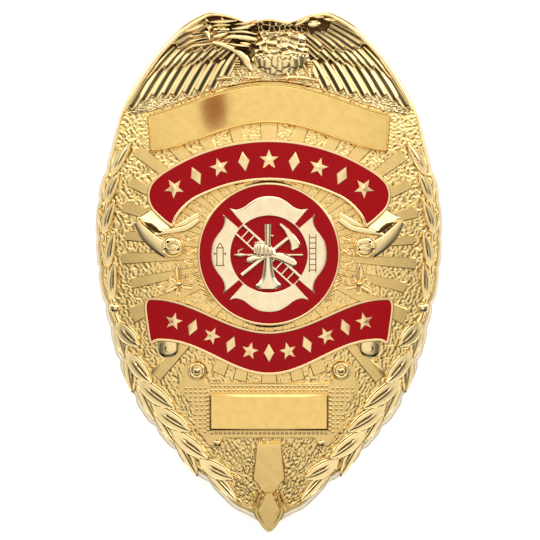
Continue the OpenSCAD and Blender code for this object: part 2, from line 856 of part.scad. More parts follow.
module pin_clasp() {
    bar_t = 0.7;
    lug_foot = pin_z - pin_r - 0.2;
    color(gold)
        union() {
            slab(-roof_t - seat_gap - bar_t, -roof_t - seat_gap)
                translate([-pin_l / 2, pin_y - lug_w / 2])
                square([pin_l, lug_w]);
            intersection() {
                translate([0, 0, lug_foot])
                    linear_extrude(height = sky_z)
                    for (s = [-1, 1])
                        translate([s * pin_l / 2 - lug_w / 2, pin_y - lug_w / 2])
                        square(lug_w);
                dome(-roof_t - seat_gap);
            }
            translate([-pin_l / 2, pin_y, pin_z])
                rotate([0, 90, 0])
                cylinder(r = pin_r, h = pin_l, $fn = 48);
        }
}

shield_body();
eagle_crest();
name_panel();
upper_ribbon();
upper_enamel();
lower_ribbon();
lower_enamel();
seal_disc();
seal_enamel();
emblem_enamel();
emblem_tools();
number_plate();
pin_clasp();
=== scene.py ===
import bpy
import mathutils
import numpy as np
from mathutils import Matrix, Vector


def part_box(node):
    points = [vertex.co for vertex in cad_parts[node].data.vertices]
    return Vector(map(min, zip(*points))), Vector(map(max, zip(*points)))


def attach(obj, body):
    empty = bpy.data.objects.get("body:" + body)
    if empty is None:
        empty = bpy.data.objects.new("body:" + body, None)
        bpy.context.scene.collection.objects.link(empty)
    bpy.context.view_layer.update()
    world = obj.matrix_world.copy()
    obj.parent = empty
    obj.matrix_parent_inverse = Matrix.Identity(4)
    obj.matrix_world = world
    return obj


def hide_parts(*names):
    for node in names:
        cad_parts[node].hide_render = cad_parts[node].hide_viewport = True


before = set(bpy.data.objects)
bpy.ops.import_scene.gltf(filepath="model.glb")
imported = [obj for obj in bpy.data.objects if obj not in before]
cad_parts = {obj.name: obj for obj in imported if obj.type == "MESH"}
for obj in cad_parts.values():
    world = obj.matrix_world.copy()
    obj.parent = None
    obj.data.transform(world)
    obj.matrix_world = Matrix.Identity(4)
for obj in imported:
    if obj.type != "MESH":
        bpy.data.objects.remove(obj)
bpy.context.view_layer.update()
mm = 0.001


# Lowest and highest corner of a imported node, in millimetres
def boxOf(node):
    low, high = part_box(node)
    return np.array(low) / mm, np.array(high) / mm


shieldLow, shieldHigh = boxOf("shield_body")
sealLow, sealHigh = boxOf("seal_disc")
panelLow, panelHigh = boxOf("name_panel")
plateLow, plateHigh = boxOf("number_plate")
halfW = (shieldHigh[0] - shieldLow[0]) / 2
halfH = (shieldHigh[1] - shieldLow[1]) / 2
crestShare = 0.86
sealR = (sealHigh[0] - sealLow[0]) / 2
sealY = (sealHigh[1] + sealLow[1]) / 2

domeForm = {"acrossRadius": 90.0, "alongRadius": 202.0, "edgeHeight": 2.0, "roof": 1.6, "wall": 1.6}
levels = {"rays": 0.35, "ribbon": 1.35, "seal": 1.65, "cartouche": 0.5, "plate": 1.4, "panel": 1.15}
apexZ = domeForm["edgeHeight"] + domeForm["alongRadius"] - np.sqrt(domeForm["alongRadius"] ** 2 - halfH ** 2)


# Height of the field: the along-circle rides on the across-circle,
# z = apex - R + sqrt((sqrt(r2 - x2) + R - r)2 - y2)
def domeHeight(x, y):
    across = domeForm["acrossRadius"]
    along = domeForm["alongRadius"]
    reach = np.sqrt(across ** 2 - x ** 2) + along - across
    return apexZ - along + np.sqrt(reach ** 2 - y ** 2)


# Plan points from their x and y, which may have the shapes of whole grids
def xy(x, y):
    return np.stack([x, y], -1)


# Values held between 0 and 1
def unit(value):
    return np.clip(value, 0, 1)


# Bell curve, 1 at 0: exp(-t2)
def bell(t):
    return np.exp(-t ** 2)


# Plan points put on the field and raised by h
def onDome(plan, h):
    x, y = plan[..., 0], plan[..., 1]
    return np.stack([x, y, domeHeight(x, y) + h], -1)


# Points at even lengths along a polyline; a closed one leaves its last point out
def evenly(path, count, closed=False):
    if closed:
        path = np.vstack([path, path[:1]])
    steps = np.linalg.norm(np.diff(path, axis=0), axis=1)
    along = np.concatenate([[0], np.cumsum(steps)])
    at = np.linspace(0, along[-1], count, endpoint=not closed)
    return np.stack([np.interp(at, along, path[:, k]) for k in range(path.shape[1])], -1)


# Catmull-Rom cubic through the points, resampled at even lengths
def smoothCurve(points, count, closed=False):
    p = np.asarray(points, float)
    if closed:
        q = np.vstack([p[-1:], p, p[:2]])
    else:
        q = np.vstack([2 * p[:1] - p[1:2], p, 2 * p[-1:] - p[-2:-1]])
    spans = len(q) - 3
    t = np.linspace(0, spans, spans * 24 + 1)
    k = np.minimum(t.astype(int), spans - 1)
    f = (t - k)[:, None]
    a, b, c, d = q[k], q[k + 1], q[k + 2], q[k + 3]
    curve = 2 * b + (c - a) * f + (2 * a - 5 * b + 4 * c - d) * f ** 2 + (3 * b - a - 3 * c + d) * f ** 3
    curve = curve / 2
    return evenly(curve[:-1] if closed else curve, count, closed)


# Cubic through a table of (place, value) with slopes from its neighbours
def smoothTable(at, table):
    x, y = np.array(table, float).T
    slope = np.gradient(y, x)
    k = np.clip(np.searchsorted(x, at) - 1, 0, len(x) - 2)
    w = x[k + 1] - x[k]
    t = unit((at - x[k]) / w)
    start = (1 + 2 * t) * (1 - t) ** 2 * y[k] + t * (1 - t) ** 2 * w * slope[k]
    return start + t ** 2 * (3 - 2 * t) * y[k + 1] + t ** 2 * (t - 1) * w * slope[k + 1]


# Unit vectors a quarter turn to the left of a path's direction
def leftOf(path, closed=False):
    if closed:
        d = np.roll(path, -1, 0) - np.roll(path, 1, 0)
    else:
        d = np.gradient(path, axis=0)
    d = d / np.linalg.norm(d, axis=1, keepdims=True)
    return xy(-d[:, 1], d[:, 0])


# A profile of (distance to the left, height) carried along a path on the field
def sweep(path, profile, closed=False):
    plan = path[:, None] + leftOf(path, closed)[:, None] * profile[:, :1]
    return onDome(plan, profile[:, 1])


# Half round of a bead, w wide and h high over its foot, as a closed profile
def beadProfile(w, h, foot, count=9, power=2.0):
    a = np.linspace(0, np.pi, count)
    x = -np.cos(a)
    z = (1 - np.abs(x) ** power) ** (1 / power)
    ends = [[w / 2, foot], [-w / 2, foot]]
    return np.vstack([xy(x * w / 2, z * h), ends])


# Distances of a row of steps from 0 to 1: foot, edge, bevel, even middle, bevel, edge, foot
def padSteps(count, bevel):
    inner = np.linspace(bevel, 1 - bevel, count)
    at = np.concatenate([[0, 0], inner, [1, 1]])
    state = np.full(len(at), 2)
    state[[0, -1]] = 0
    state[[1, -2]] = 1
    return at, state


# Bevelled pad between two sides: p(u, v) = low(u) + v (high(u) - low(u)), its border dropped to the foot
def pad(low, high, top, foot, bevel, across=3, along=3, crown=0.0, slope=0.7, ends=None):
    low = np.asarray(low, float)
    high = np.asarray(high, float)
    length = np.linalg.norm(low[1:] - low[:-1], axis=-1).sum()
    width = np.median(np.linalg.norm(high - low, axis=-1))
    u, uState = padSteps(along, min(0.4, (ends or bevel) / length))
    v, vState = padSteps(across, min(0.4, bevel / width))
    n = len(low)
    at = np.linspace(0, 1, n)
    sides = [np.stack([np.interp(u, at, s[:, k]) for k in (0, 1)], -1) for s in (low, high)]
    plan = sides[0][:, None] + v[:, None] * (sides[1] - sides[0])[:, None]
    state = np.minimum(uState[:, None], vState[None])
    h = np.where(state == 2, top, np.where(state == 1, top - slope * bevel, foot))
    h = h + np.where(state == 2, crown * (4 * v * (1 - v))[None], 0)
    return onDome(plan, h)


# A pad's border rows marked with painted shade, so that its edge is drawn as a dark line of painted shadow
def padEdgeShade(points, value=1.0):
    hollow = np.zeros(points.shape[:-1])
    hollow[..., [0, 1, -2, -1], :] = value
    hollow[..., [0, 1, -2, -1]] = value
    return hollow


# Steps of 0 to 1 along a blade, a mix of even ones and a cosine's, so that they are closer at its ends
def bladeSteps(count):
    crowd = 0.35
    return crowd * (1 - np.cos(np.linspace(0, np.pi, count))) / 2 + (1 - crowd) * np.linspace(0, 1, count)


# Even steps of -1 to 1 across a blade, with each edge twice, for its foot
def acrossSteps(count):
    return np.concatenate([[-1], np.linspace(-1, 1, count), [1]])


# Blades of a width table and a height function; s runs from foot to tip and c from side to side, and the
# bow pushes the middle aside by a parabola
def bladeGrid(start, way, length, width, table, height, foot, nu, nv, bow=0.0):
    length, width, bow = (np.broadcast_to(v, len(way))[:, None, None] for v in (length, width, bow))
    s = bladeSteps(nu)[None, :, None]
    c = acrossSteps(nv)[None, None]
    half = np.maximum(smoothTable(s, table), 0.0)
    out = c * half * width / 2 + bow * (4 * s * (1 - s))
    way = way[:, None, None]
    side = xy(-way[..., 1], way[..., 0])
    plan = start[:, None, None] + way * (length * s)[..., None] + side * out[..., None]
    h = np.broadcast_to(height(s, c, length), plan.shape[:-1]).copy()
    h[:, :, [0, -1]] = foot
    h[:, [0, -1]] = foot
    return onDome(plan, h)


# Rounded bar along a plan path: out = c half(s), height = level + rise(s) (1 - |c|^power)^(1/power)
def strap(path, half, rise, level, foot=None, power=2.0, across=11, count=40, closed=False):
    line = smoothCurve(path, count, closed) if len(path) > 2 else evenly(np.array(path, float), count)
    at = np.linspace(0, 1, count)
    half, rise, level = (
        np.interp(at, np.linspace(0, 1, np.size(v)), np.atleast_1d(v))[:, None] for v in (half, rise, level)
    )
    c = -np.cos(np.linspace(0, np.pi, across))
    plan = line[:, None] + leftOf(line, closed)[:, None] * (c * half)[..., None]
    plan = np.concatenate([plan[:, :1], plan, plan[:, -1:]], 1)
    low = level - 0.25 if foot is None else np.full((count, 1), foot)
    h = np.concatenate([low, level + rise * (1 - np.abs(c) ** power) ** (1 / power), low], 1)
    if not closed:
        plan = np.concatenate([plan[:1], plan, plan[-1:]], 0)
        ends = np.full((1, across + 2), h.min())
        h = np.concatenate([ends, h, ends], 0)
    return onDome(plan, h)


# Small domes: rings of radius r (1, 1, 0.92, 0.7, 0.36, 0) with the heights of a half round
def studs(centres, radius, rise, level, around=12, foot=0.3):
    centres = np.asarray(centres, float)
    a = np.linspace(0, 2 * np.pi, around, endpoint=False)
    r = np.array([1, 1, 0.92, 0.7, 0.36, 0.001])
    h = np.array([-foot, 0, 0.39, 0.71, 0.93, 1.0])
    ring = xy(np.cos(a), np.sin(a))
    plan = centres[:, None, None] + radius * r[None, :, None, None] * ring[None, None]
    high = level + np.where(h < 0, h, h * rise)
    return onDome(plan, np.broadcast_to(high[None, :, None], plan.shape[:-1]))


# Quads of a batch of grids laid out as rows and columns, each turned so that it faces outwards
def gridQuads(points, wrapU, wrapV):
    n, nu, nv, _ = points.shape
    i = np.arange(nu if wrapU else nu - 1)
    j = np.arange(nv if wrapV else nv - 1)
    i, j = np.meshgrid(i, j, indexing="ij")
    a = i * nv + j
    b = ((i + 1) % nu) * nv + j
    c = ((i + 1) % nu) * nv + (j + 1) % nv
    d = i * nv + (j + 1) % nv
    one = np.stack([a, b, c, d], -1).reshape(-1, 4)
    flat = points.reshape(n, -1, 3)
    p = flat[:, one]
    middle = flat.mean(1)
    middle[:, 2] = flat[:, :, 2].min(1)
    normal = np.cross(p[:, :, 2] - p[:, :, 0], p[:, :, 3] - p[:, :, 1])
    outward = (normal * (p.mean(2) - middle[:, None])).sum((1, 2))
    quads = one[None] + (np.arange(n) * nu * nv)[:, None, None]
    quads = np.where((outward < 0)[:, None, None], quads[..., ::-1], quads)
    return quads.reshape(-1, 4)


# One mesh object in metres from grids; a grid is (points, wrapU, wrapV, hollow), or points closed across only
def makePiece(name, grids, material, node, sharp=38):
    verts = []
    quads = []
    hollows = []
    base = 0
    for grid in grids:
        points, wrapU, wrapV, *shade = grid if isinstance(grid, tuple) else (grid, False, True)
        if points.ndim == 3:
            points = points[None]
        verts.append(points.reshape(-1, 3))
        quads.append(gridQuads(points, wrapU, wrapV) + base)
        hollows.append(np.broadcast_to(shade[0] if shade else 0.0, points.shape[:3]).reshape(-1))
        base += len(verts[-1])
    mesh = bpy.data.meshes.new(name)
    mesh.from_pydata(np.vstack(verts) * mm, [], np.vstack(quads))
    # Vertex attribute of painted shade: how far each point's colour is darkened towards its look's shade
    # colour
    mesh.attributes.new("hollow", "FLOAT", "POINT").data.foreach_set("value", np.concatenate(hollows))
    mesh.validate()
    mesh.shade_smooth()
    if sharp:
        mesh.set_sharp_from_angle(angle=np.radians(sharp))
    mesh.materials.append(material)
    piece = bpy.data.objects.new(name, mesh)
    bpy.context.scene.collection.objects.link(piece)
    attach(piece, "root")
    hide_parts(node)
    print("made", name, 2 * len(mesh.polygons), "triangles")


# Unit vectors from a closed outline towards its inside
def inwardOf(loop):
    n = -leftOf(loop, closed=True)
    return n if (n * (loop.mean(0) - loop)).sum() > 0 else -n


# The points of a loop that a mask keeps, in the order of their x (0) or y (1)
def inOrder(loop, keep, by):
    part = loop[keep]
    return part[np.argsort(part[:, by])]


# The left-hand twin of plan points, in the same order
def mirrored(points):
    return points * np.array([-1.0, 1.0, 1.0][: points.shape[-1]])


# Looks of the gold: each shade is the dark colour that the hollow attribute mixes in, painted shade in cuts,
# cracks and gaps and on faces turned from the light
goldLook = {
    "polished": {"color": (0.97, 0.67, 0.235), "shade": (0.5, 0.25, 0.04), "roughness": 0.11, "grain": 0.22},
    "panel": {"color": (0.94, 0.645, 0.215), "shade": (0.2, 0.1, 0.03), "roughness": 0.09, "grain": 0.07},
    "satin": {"color": (0.93, 0.655, 0.25), "shade": (0.6, 0.34, 0.08), "roughness": 0.27, "grain": 0.5},
    "stippled": {"color": (1.0, 0.72, 0.29), "shade": (0.45, 0.235, 0.04), "roughness": 0.2, "grain": 0.7},
    "pale": {"color": (1.0, 0.83, 0.54), "shade": (0.55, 0.36, 0.12), "roughness": 0.13, "grain": 0.12},
    "carved": {"color": (1.0, 0.77, 0.38), "shade": (0.07, 0.035, 0.012), "roughness": 0.1, "grain": 0.12},
    # line: dark brown, for the painted shadow lines in cuts, folds and gaps, and for the drawn lines in the
    # cross's lobes
    "line": {"color": (0.3, 0.16, 0.04), "shade": (0.03, 0.012, 0.005), "roughness": 0.4, "grain": 0.3},
    "trim": {"color": (1.0, 0.73, 0.37), "shade": (0.75, 0.45, 0.16), "roughness": 0.16, "grain": 0.15},
    # rim: paler, creamier gold for the edge's flare, a painted reflection of the pale floor on its side
    "rim": {"color": (1.0, 0.87, 0.64), "shade": (0.8, 0.6, 0.35), "roughness": 0.32, "grain": 0.2},
}


# Inputs of a shader node by name: a socket is linked, and anything else is the input's value
def setInputs(tree, node, inputs):
    for key, value in inputs.items():
        if isinstance(value, bpy.types.NodeSocket):
            tree.links.new(value, node.inputs[key])
        else:
            node.inputs[key].default_value = value


# New shader node of a kind, with its settings first and then its inputs
def addNode(tree, kind, inputs, **settings):
    node = tree.nodes.new("ShaderNode" + kind)
    for key, value in settings.items():
        setattr(node, key, value)
    setInputs(tree, node, inputs)
    return node


# New material, its node tree and its main shader
def newMaterial(name):
    material = bpy.data.materials.new(name)
    material.use_nodes = True
    return material, material.node_tree, material.node_tree.nodes["Principled BSDF"]


# Stops of a colour ramp, each (place, colour)
def setRamp(ramp, stops):
    while len(ramp.elements) < len(stops):
        ramp.elements.new(0.5)
    for element, (at, color) in zip(ramp.elements, stops):
        element.position = at
        element.color = (*color, 1)


cloudStops = [(0.3, (0.93, 0.9, 0.84)), (0.65, (1, 1, 1))]


# Gold: colour darkened towards its shade colour where the hollow attribute is high, as painted shade, with a
# fine grain in roughness and bump
def goldMaterial(name, look):
    material, tree, shader = newMaterial(name)
    place = addNode(tree, "TexCoord", {}).outputs["Object"]
    hollow = addNode(tree, "Attribute", {}, attribute_name="hollow").outputs["Fac"]
    cloud = addNode(tree, "TexNoise", {"Scale": 900, "Detail": 3, "Vector": place}).outputs["Fac"]
    grain = addNode(tree, "TexNoise", {"Scale": 5200, "Detail": 4, "Vector": place}).outputs["Fac"]
    colors = {"A": (*look["color"], 1), "B": (*look["shade"], 1), "Factor": hollow}
    tint = addNode(tree, "Mix", colors, data_type="RGBA").outputs["Result"]
    ramp = addNode(tree, "ValToRGB", {"Fac": cloud})
    setRamp(ramp.color_ramp, cloudStops)
    colors = {"A": tint, "B": ramp.outputs["Color"], "Factor": 1}
    vary = addNode(tree, "Mix", colors, data_type="RGBA", blend_type="MULTIPLY")
    spread = {"To Min": look["roughness"] * 0.8, "To Max": look["roughness"] * 1.3, "Value": grain}
    rough = addNode(tree, "MapRange", spread)
    bump = addNode(tree, "Bump", {"Strength": look["grain"], "Distance": 0.012 * mm, "Height": grain})
    setInputs(tree, shader, {
        "Metallic": 1, "Base Color": vary.outputs["Result"], "Roughness": rough.outputs["Result"],
        "Normal": bump.outputs["Normal"],
    })
    return material


enamelLook = {
    "color": (0.47, 0.003, 0.006), "deep": (0.41, 0.002, 0.005), "roughness": 0.22, "coat": 0.08,
    "coatRoughness": 0.08, "specular": 0.06,
}


# Enamel: deep red under a clear coat, with a faint cloud in its colour and its level
def enamelMaterial(name, look):
    material, tree, shader = newMaterial(name)
    place = addNode(tree, "TexCoord", {}).outputs["Object"]
    cloud = addNode(tree, "TexNoise", {"Scale": 260, "Detail": 2, "Vector": place}).outputs["Fac"]
    colors = {"A": (*look["deep"], 1), "B": (*look["color"], 1), "Factor": cloud}
    tint = addNode(tree, "Mix", colors, data_type="RGBA")
    bump = addNode(tree, "Bump", {"Strength": 0.06, "Distance": 0.03 * mm, "Height": cloud})
    setInputs(tree, shader, {
        "Coat Weight": look["coat"], "Coat Roughness": look["coatRoughness"],
        "Specular IOR Level": look["specular"], "Roughness": look["roughness"],
        "Base Color": tint.outputs["Result"], "Normal": bump.outputs["Normal"],
    })
    return material


gold = {name: goldMaterial(name + "Gold", look) for name, look in goldLook.items()}
redEnamel = enamelMaterial("redEnamel", enamelLook)

# The shield's outline, right half from the top middle to the tip, as shares of its half width and height
edgeShares = [
    (0, 0.975), (0.12, 0.962), (0.21, 0.985), (0.32, 1), (0.385, 0.992), (0.485, 0.953), (0.59, 0.888),
    (0.68, 0.818), (0.77, 0.727), (0.836, 0.645), (0.884, 0.55), (0.937, 0.412), (0.978, 0.325), (1, 0.18),
    (0.993, 0.06), (0.975, -0.05), (0.942, -0.147), (0.9, -0.27), (0.858, -0.365), (0.799, -0.457),
    (0.72, -0.549), (0.605, -0.643), (0.472, -0.742), (0.322, -0.83), (0.212, -0.901), (0.13, -0.93),
    (0.065, -0.955), (0.04, -0.98), (0, -1),
]
rightEdge = np.array(edgeShares) * [halfW, halfH]
wholeEdge = np.vstack([rightEdge, mirrored(rightEdge[1:-1])[::-1]])
edgeLoop = smoothCurve(wholeEdge, 1080, closed=True)
edgeIn = inwardOf(edgeLoop)

# Nicks in the edge beside the laurel's outer tips: height on the shield, depth, half width
nicks = [
    (15.0, 0.16, 0.5), (10.5, 0.16, 0.5), (5.0, 0.16, 0.5), (0.4, 0.2, 0.5), (-4.7, 0.24, 0.6),
    (-8.0, 0.2, 0.6), (-13.0, 0.34, 0.6), (-18.2, 0.36, 0.6), (-22.8, 0.36, 0.55), (-26.3, 0.36, 0.5),
    (-31.0, 0.34, 0.5),
]
nickDepth = sum(depth * bell((edgeLoop[:, 1] - y) / half) for y, depth, half in nicks)
edgeLoop = edgeLoop + edgeIn * nickDepth[:, None]

shellForm = {
    "step": 0.42, "stepMore": 0.3, "stepLess": 0.24, "fieldInset": 0.5, "edgeHigh": 0.55, "lap": (0.03, 0.02),
    "field": [(0.0005, -0.3), (0.15, -0.3), (0.4, -0.3), (0.65, -0.3), (0.85, -0.3), (0.96, -0.12),
              (1, -0.1)],
    "bead": [(0.42, -0.02), (0.3, 0.06), (0.18, 0.05), (0.08, -0.03), (0.02, -0.14), (0.0, -0.3)],
    "flare": [(1, -0.58), (0.94, -0.62), (0.6, -0.61), (0.25, -0.6), (0.1, -0.62), (0.0, -0.8)],
    "foot": [(0.02, 0.2), (0.1, 0.05), (0.25, 0.0), (1.3, 0.0), (1.5, 0.06), (domeForm["wall"], 0.2)],
    "roof": (0.97, 0.88, 0.78, 0.66, 0.54, 0.42, 0.3, 0.18, 0.0005),
}
# Width of the low step, wider in the lower half and narrow along the crest
stepWide = (
    shellForm["step"] + shellForm["stepMore"] * unit((-2.0 - edgeLoop[:, 1]) / 9.0)
    - shellForm["stepLess"] * unit((edgeLoop[:, 1] - 20.0) / 3.0)
)


# The casting's skin: rings that follow the outline from the field's middle over the stepped edge, under the
# rim's foot and up into the hollow back. The flare is a piece of its own in the paler rim gold, a painted
# reflection of the pale floor on the edge's side, and the skin laps under it.
def shieldShell():
    f = shellForm
    wall = domeForm["wall"]
    roof = domeForm["roof"]
    edgeZ = domeHeight(*edgeLoop.T)

    # The outline moved inwards, at a height
    def ring(inset, z):
        inset, z = (np.broadcast_to(v, len(edgeLoop))[:, None] for v in (inset, z))
        return np.concatenate([edgeLoop + edgeIn * inset, z], 1)

    # The outline moved inwards and shrunk to a share, at a height over the field
    def shrunk(inset, share, h):
        return onDome((edgeLoop + edgeIn * inset) * share, h)

    field = [shrunk((stepWide + f["fieldInset"])[:, None], share, h) for share, h in f["field"]]
    bead = [ring(stepWide + inset, edgeZ + h) for inset, h in f["bead"]]
    flare = [ring(stepWide * share, edgeZ + h) for share, h in f["flare"]] + [ring(0, f["edgeHigh"])]
    inset, drop = f["lap"]
    lap = np.concatenate([edgeIn * inset, np.full((len(edgeLoop), 1), -drop)], 1)
    foot = [ring(inset, z) for inset, z in f["foot"]]
    innerZ = domeHeight(*(edgeLoop + edgeIn * wall).T) - roof
    back = [ring(wall, np.maximum(innerZ * 0.8, 0.25)), ring(wall + 0.1, np.maximum(innerZ, 0.32))]
    back += [shrunk(wall + 0.2, share, -roof) for share in f["roof"]]
    skin = np.array(field + bead + [one + lap for one in flare] + foot + back)
    makePiece("shield_shell", [skin], gold["polished"], "shield_body", sharp=0)
    # The flare takes the paler rim gold, a painted reflection of the pale floor
    makePiece("shield_flare", [np.array(flare)], gold["rim"], "shield_body", sharp=0)


# Cells of uneven size on a jittered lattice: distances to the nearest and the second centre, and the way
# from the nearest
def cells(x, y, pitchX, pitchY, seed):
    random = np.random.default_rng(seed).random((61, 67, 2))
    i = np.floor(x / pitchX).astype(int)
    j = np.floor(y / pitchY).astype(int)
    best = np.full(x.shape, 9.0)
    second = np.full(x.shape, 9.0)
    wayX = np.zeros(x.shape)
    wayY = np.zeros(x.shape)
    for di in (-1, 0, 1):
        for dj in (-1, 0, 1):
            jitter = random[(i + di) % 61, (j + dj) % 67]
            brick = 0.5 * ((j + dj) % 2)
            dx = x / pitchX - (i + di + 0.1 + 0.8 * jitter[..., 0] + brick - 0.25)
            dy = y / pitchY - (j + dj + 0.15 + 0.7 * jitter[..., 1])
            d = np.hypot(dx, dy)
            nearer = d < best
            second = np.where(nearer, best, np.minimum(second, d))
            wayX = np.where(nearer, dx, wayX)
            wayY = np.where(nearer, dy, wayY)
            best = np.minimum(best, d)
    return best, second, wayX, wayY


# Cells with their cracks: the distance to the middle, the way up from it, and 1 in a crack, by
# bell((second - nearest) / width)
def cracks(x, y, pitchX, pitchY, seed, width):
    best, second, _, wayY = cells(x, y, pitchX, pitchY, seed)
    return best, wayY, bell((second - best) / width)


# Warp that makes cells uneven: the sum of sine waves, each (height, turn per x, turn per y)
def waves(x, y, table):
    return sum(high * np.sin(alongX * x + alongY * y) for high, alongX, alongY in table)


# Share of the way from the crack between two cells to a cell's crest
def pebbles(x, y, pitchX, pitchY, seed, crack=0.3):
    best, second, _, _ = cells(x, y, pitchX, pitchY, seed)
    ridge = unit((second - best) / crack)
    return ridge ** 0.6 * unit(1.1 - 0.75 * best ** 2)


groundForm = {
    "pitch": 0.17, "top": 26.9, "split": -2.0, "inset": 0.3, "height": 0.17, "crackShade": (1, 2.2, 0.8),
    "pebble": (0.66, 0.43, 7), "fine": (0.4, 0.34, 11), "fineShift": (5, 3), "fineShare": 0.6,
    "fineReach": (3.0, 4.0),
    "wavesX": [(0.3, 0.5, 1.1), (0.15, 2.7, 1.9)], "wavesY": [(0.28, 0.83, 0.4), (0.12, 2.2, 3.1)],
}


# Stippled field: rows across the shield between its edges, raised by the pebbles, with finer ones near the
# seal; the low parts between the pebbles are darkened as painted shade
def stippledGround():
    g = groundForm
    inner = edgeLoop + edgeIn * (stepWide + g["inset"])[:, None]
    half = inOrder(inner, (inner[:, 0] >= 0) & (inner[:, 1] < halfH * crestShare), 1)
    fields = (("ground_lower", half[0, 1] + 0.05, g["split"]), ("ground_upper", g["split"], g["top"]))
    for name, low, high in fields:
        y = np.linspace(low, high, int((high - low) / g["pitch"]) + 1)
        reach = np.interp(y, half[:, 1], half[:, 0])
        share = np.linspace(-1, 1, int(2 * halfW / g["pitch"]) + 1)
        x = reach[:, None] * share
        y = np.broadcast_to(y[:, None], x.shape)
        wx = x + waves(x, y, g["wavesX"])
        wy = y + waves(x, y, g["wavesY"])
        coarse = pebbles(wx, wy, *g["pebble"])
        fine = pebbles(wx + g["fineShift"][0], wy + g["fineShift"][1], *g["fine"])
        start, width = g["fineReach"]
        far = unit((np.hypot(x, y - sealY) - sealR - start) / width)
        cell = fine * (1 - far) * g["fineShare"] + coarse * far
        points = onDome(xy(x, y), g["height"] * (cell - 0.25))
        # Painted shade in the cracks: the lower a point lies among the pebbles, the darker its colour
        dark, fall, most = g["crackShade"]
        hollow = unit(dark - fall * cell) * most
        makePiece(name, [(points, False, False, hollow)], gold["stippled"], "shield_body", sharp=0)


# Rays: angle from straight up on the left and on the right, half of its spread, outer radius
rayForm = {
    "rows": [
        (0, 0, 4.0, 22.4), (14.9, 14.4, 3.05, 22.4), (29, 29.6, 3.0, 22.4), (41, 41.5, 3.0, 22.4),
        (51.7, 53.5, 2.4, 24.5), (62.4, 63.4, 2.1, 23.0), (71.8, 73.9, 2.4, 22.4),
        (82.5, 84.2, 2.1, 21.2), (91.6, 93.6, 2.4, 21.5), (102, 103.8, 2.4, 20.5),
        (114, 114.7, 3.2, 22.0), (137.1, 138.1, 2.4, 24.4), (156.8, 156.6, 3.3, 18.9),
        (166.9, 166.9, 3.1, 18.9), (180, 180, 3.6, 18.9),
    ],
    # line: how dark the painted shade line round each ray's border is
    "start": -1.5, "bevel": 0.1, "foot": -0.2, "line": 0.8,
}


# Rays: bevelled wedges that stand out from the seal's middle, half width = radius times the spread's tangent
def rays():
    r = rayForm
    bars = []
    for left, right, spread, end in r["rows"]:
        for a in ([left] if left in (0, 180) else [-left, right]):
            way = np.array([np.sin(np.radians(a)), np.cos(np.radians(a))])
            side = np.array([way[1], -way[0]])
            reach = np.linspace(sealR + r["start"], end, 14)
            half = reach * np.tan(np.radians(spread))
            line = np.array([0, sealY]) + way * reach[:, None]
            low = line - side * half[:, None]
            high = line + side * half[:, None]
            bars.append(pad(low, high, levels["rays"], r["foot"], r["bevel"], across=4, along=14))
    bars = np.array(bars)
    # Each ray's border is drawn as a dark line of painted shade
    grid = (bars, False, True, padEdgeShade(bars, r["line"]))
    makePiece("rays", [grid], gold["satin"], "shield_body", sharp=25)


# Laurel pairs: foot's height, its distance from the edge, length and lean of the inner leaf, then those of
# the outer one. Layers: leaf's number, lowest level, share of the height and bow
laurelForm = {
    "up": [(14.5, 1.3, 5.6, 12, 4.3, -8), (10.1, 1.3, 5.1, 17, 3.7, -9), (5.5, 1.25, 5.3, 19, 3.9, -12),
           (0.45, 1.4, 5.6, 16, 4.2, -8), (-4.4, 1.25, 5.7, 16, 4.3, -5)],
    "down": [(-7.66, 1.2, 4.9, 31, 5.4, 0), (-12.2, 1.7, 6.0, 21, 6.1, -11),
             (-16.5, 1.7, 7.26, 22, 6.8, -6.5), (-20.7, 1.9, 6.85, 20, 6.4, -6),
             (-24.3, 1.9, 6.86, 13, 7.8, -11), (-28.8, 1.9, 5.9, 14, 8.6, -5.5)],
    "upWidth": (1.6, 1.2), "downWidth": (2.6, 2.1), "height": 0.8, "foot": -0.5,
    "layers": [(0, 0.05, 1, -0.2), (1, -0.05, 0.85, 0.16)],
    "stem": ([-28, -10, -5, 14], [1.9, 1.6, 1.25, 1.3]), "stemEnds": (-31.5, 13.8, 120),
    "stemBead": (0.75, 0.4, -0.3), "knot": (-5.5, 1.3), "knotDome": (0.75, 0.4, 0.35),
    "form": [(0, 0.12), (0.08, 0.5), (0.22, 0.82), (0.42, 1.0), (0.62, 0.93), (0.8, 0.62), (0.93, 0.25),
             (1, 0.0)],
}
edgeBySide = inOrder(edgeLoop, (edgeLoop[:, 0] > 0) & (edgeLoop[:, 1] < halfH * crestShare), 1)


# Half width of the shield at a height
def edgeAt(y):
    return np.interp(y, edgeBySide[:, 1], edgeBySide[:, 0])


# Direction of the right edge at a height, upwards or downwards
def edgeWay(y, up):
    d = up * 0.04 * halfH
    v = xy(edgeAt(y + d) - edgeAt(y - d), np.broadcast_to(2 * d, np.shape(y)))
    return v / np.linalg.norm(v, axis=-1, keepdims=True)


# The laurel's stem, a distance inside the edge
def stemAt(y, inset):
    t = edgeWay(y, 1)
    return xy(edgeAt(y), y) + np.asarray(inset)[..., None] * xy(-t[..., 1], t[..., 0])


# Plan vectors turned anticlockwise by degrees
def turned(v, degrees):
    a = np.radians(degrees)
    x, y = v[..., 0], v[..., 1]
    return xy(x * np.cos(a) - y * np.sin(a), x * np.sin(a) + y * np.cos(a))


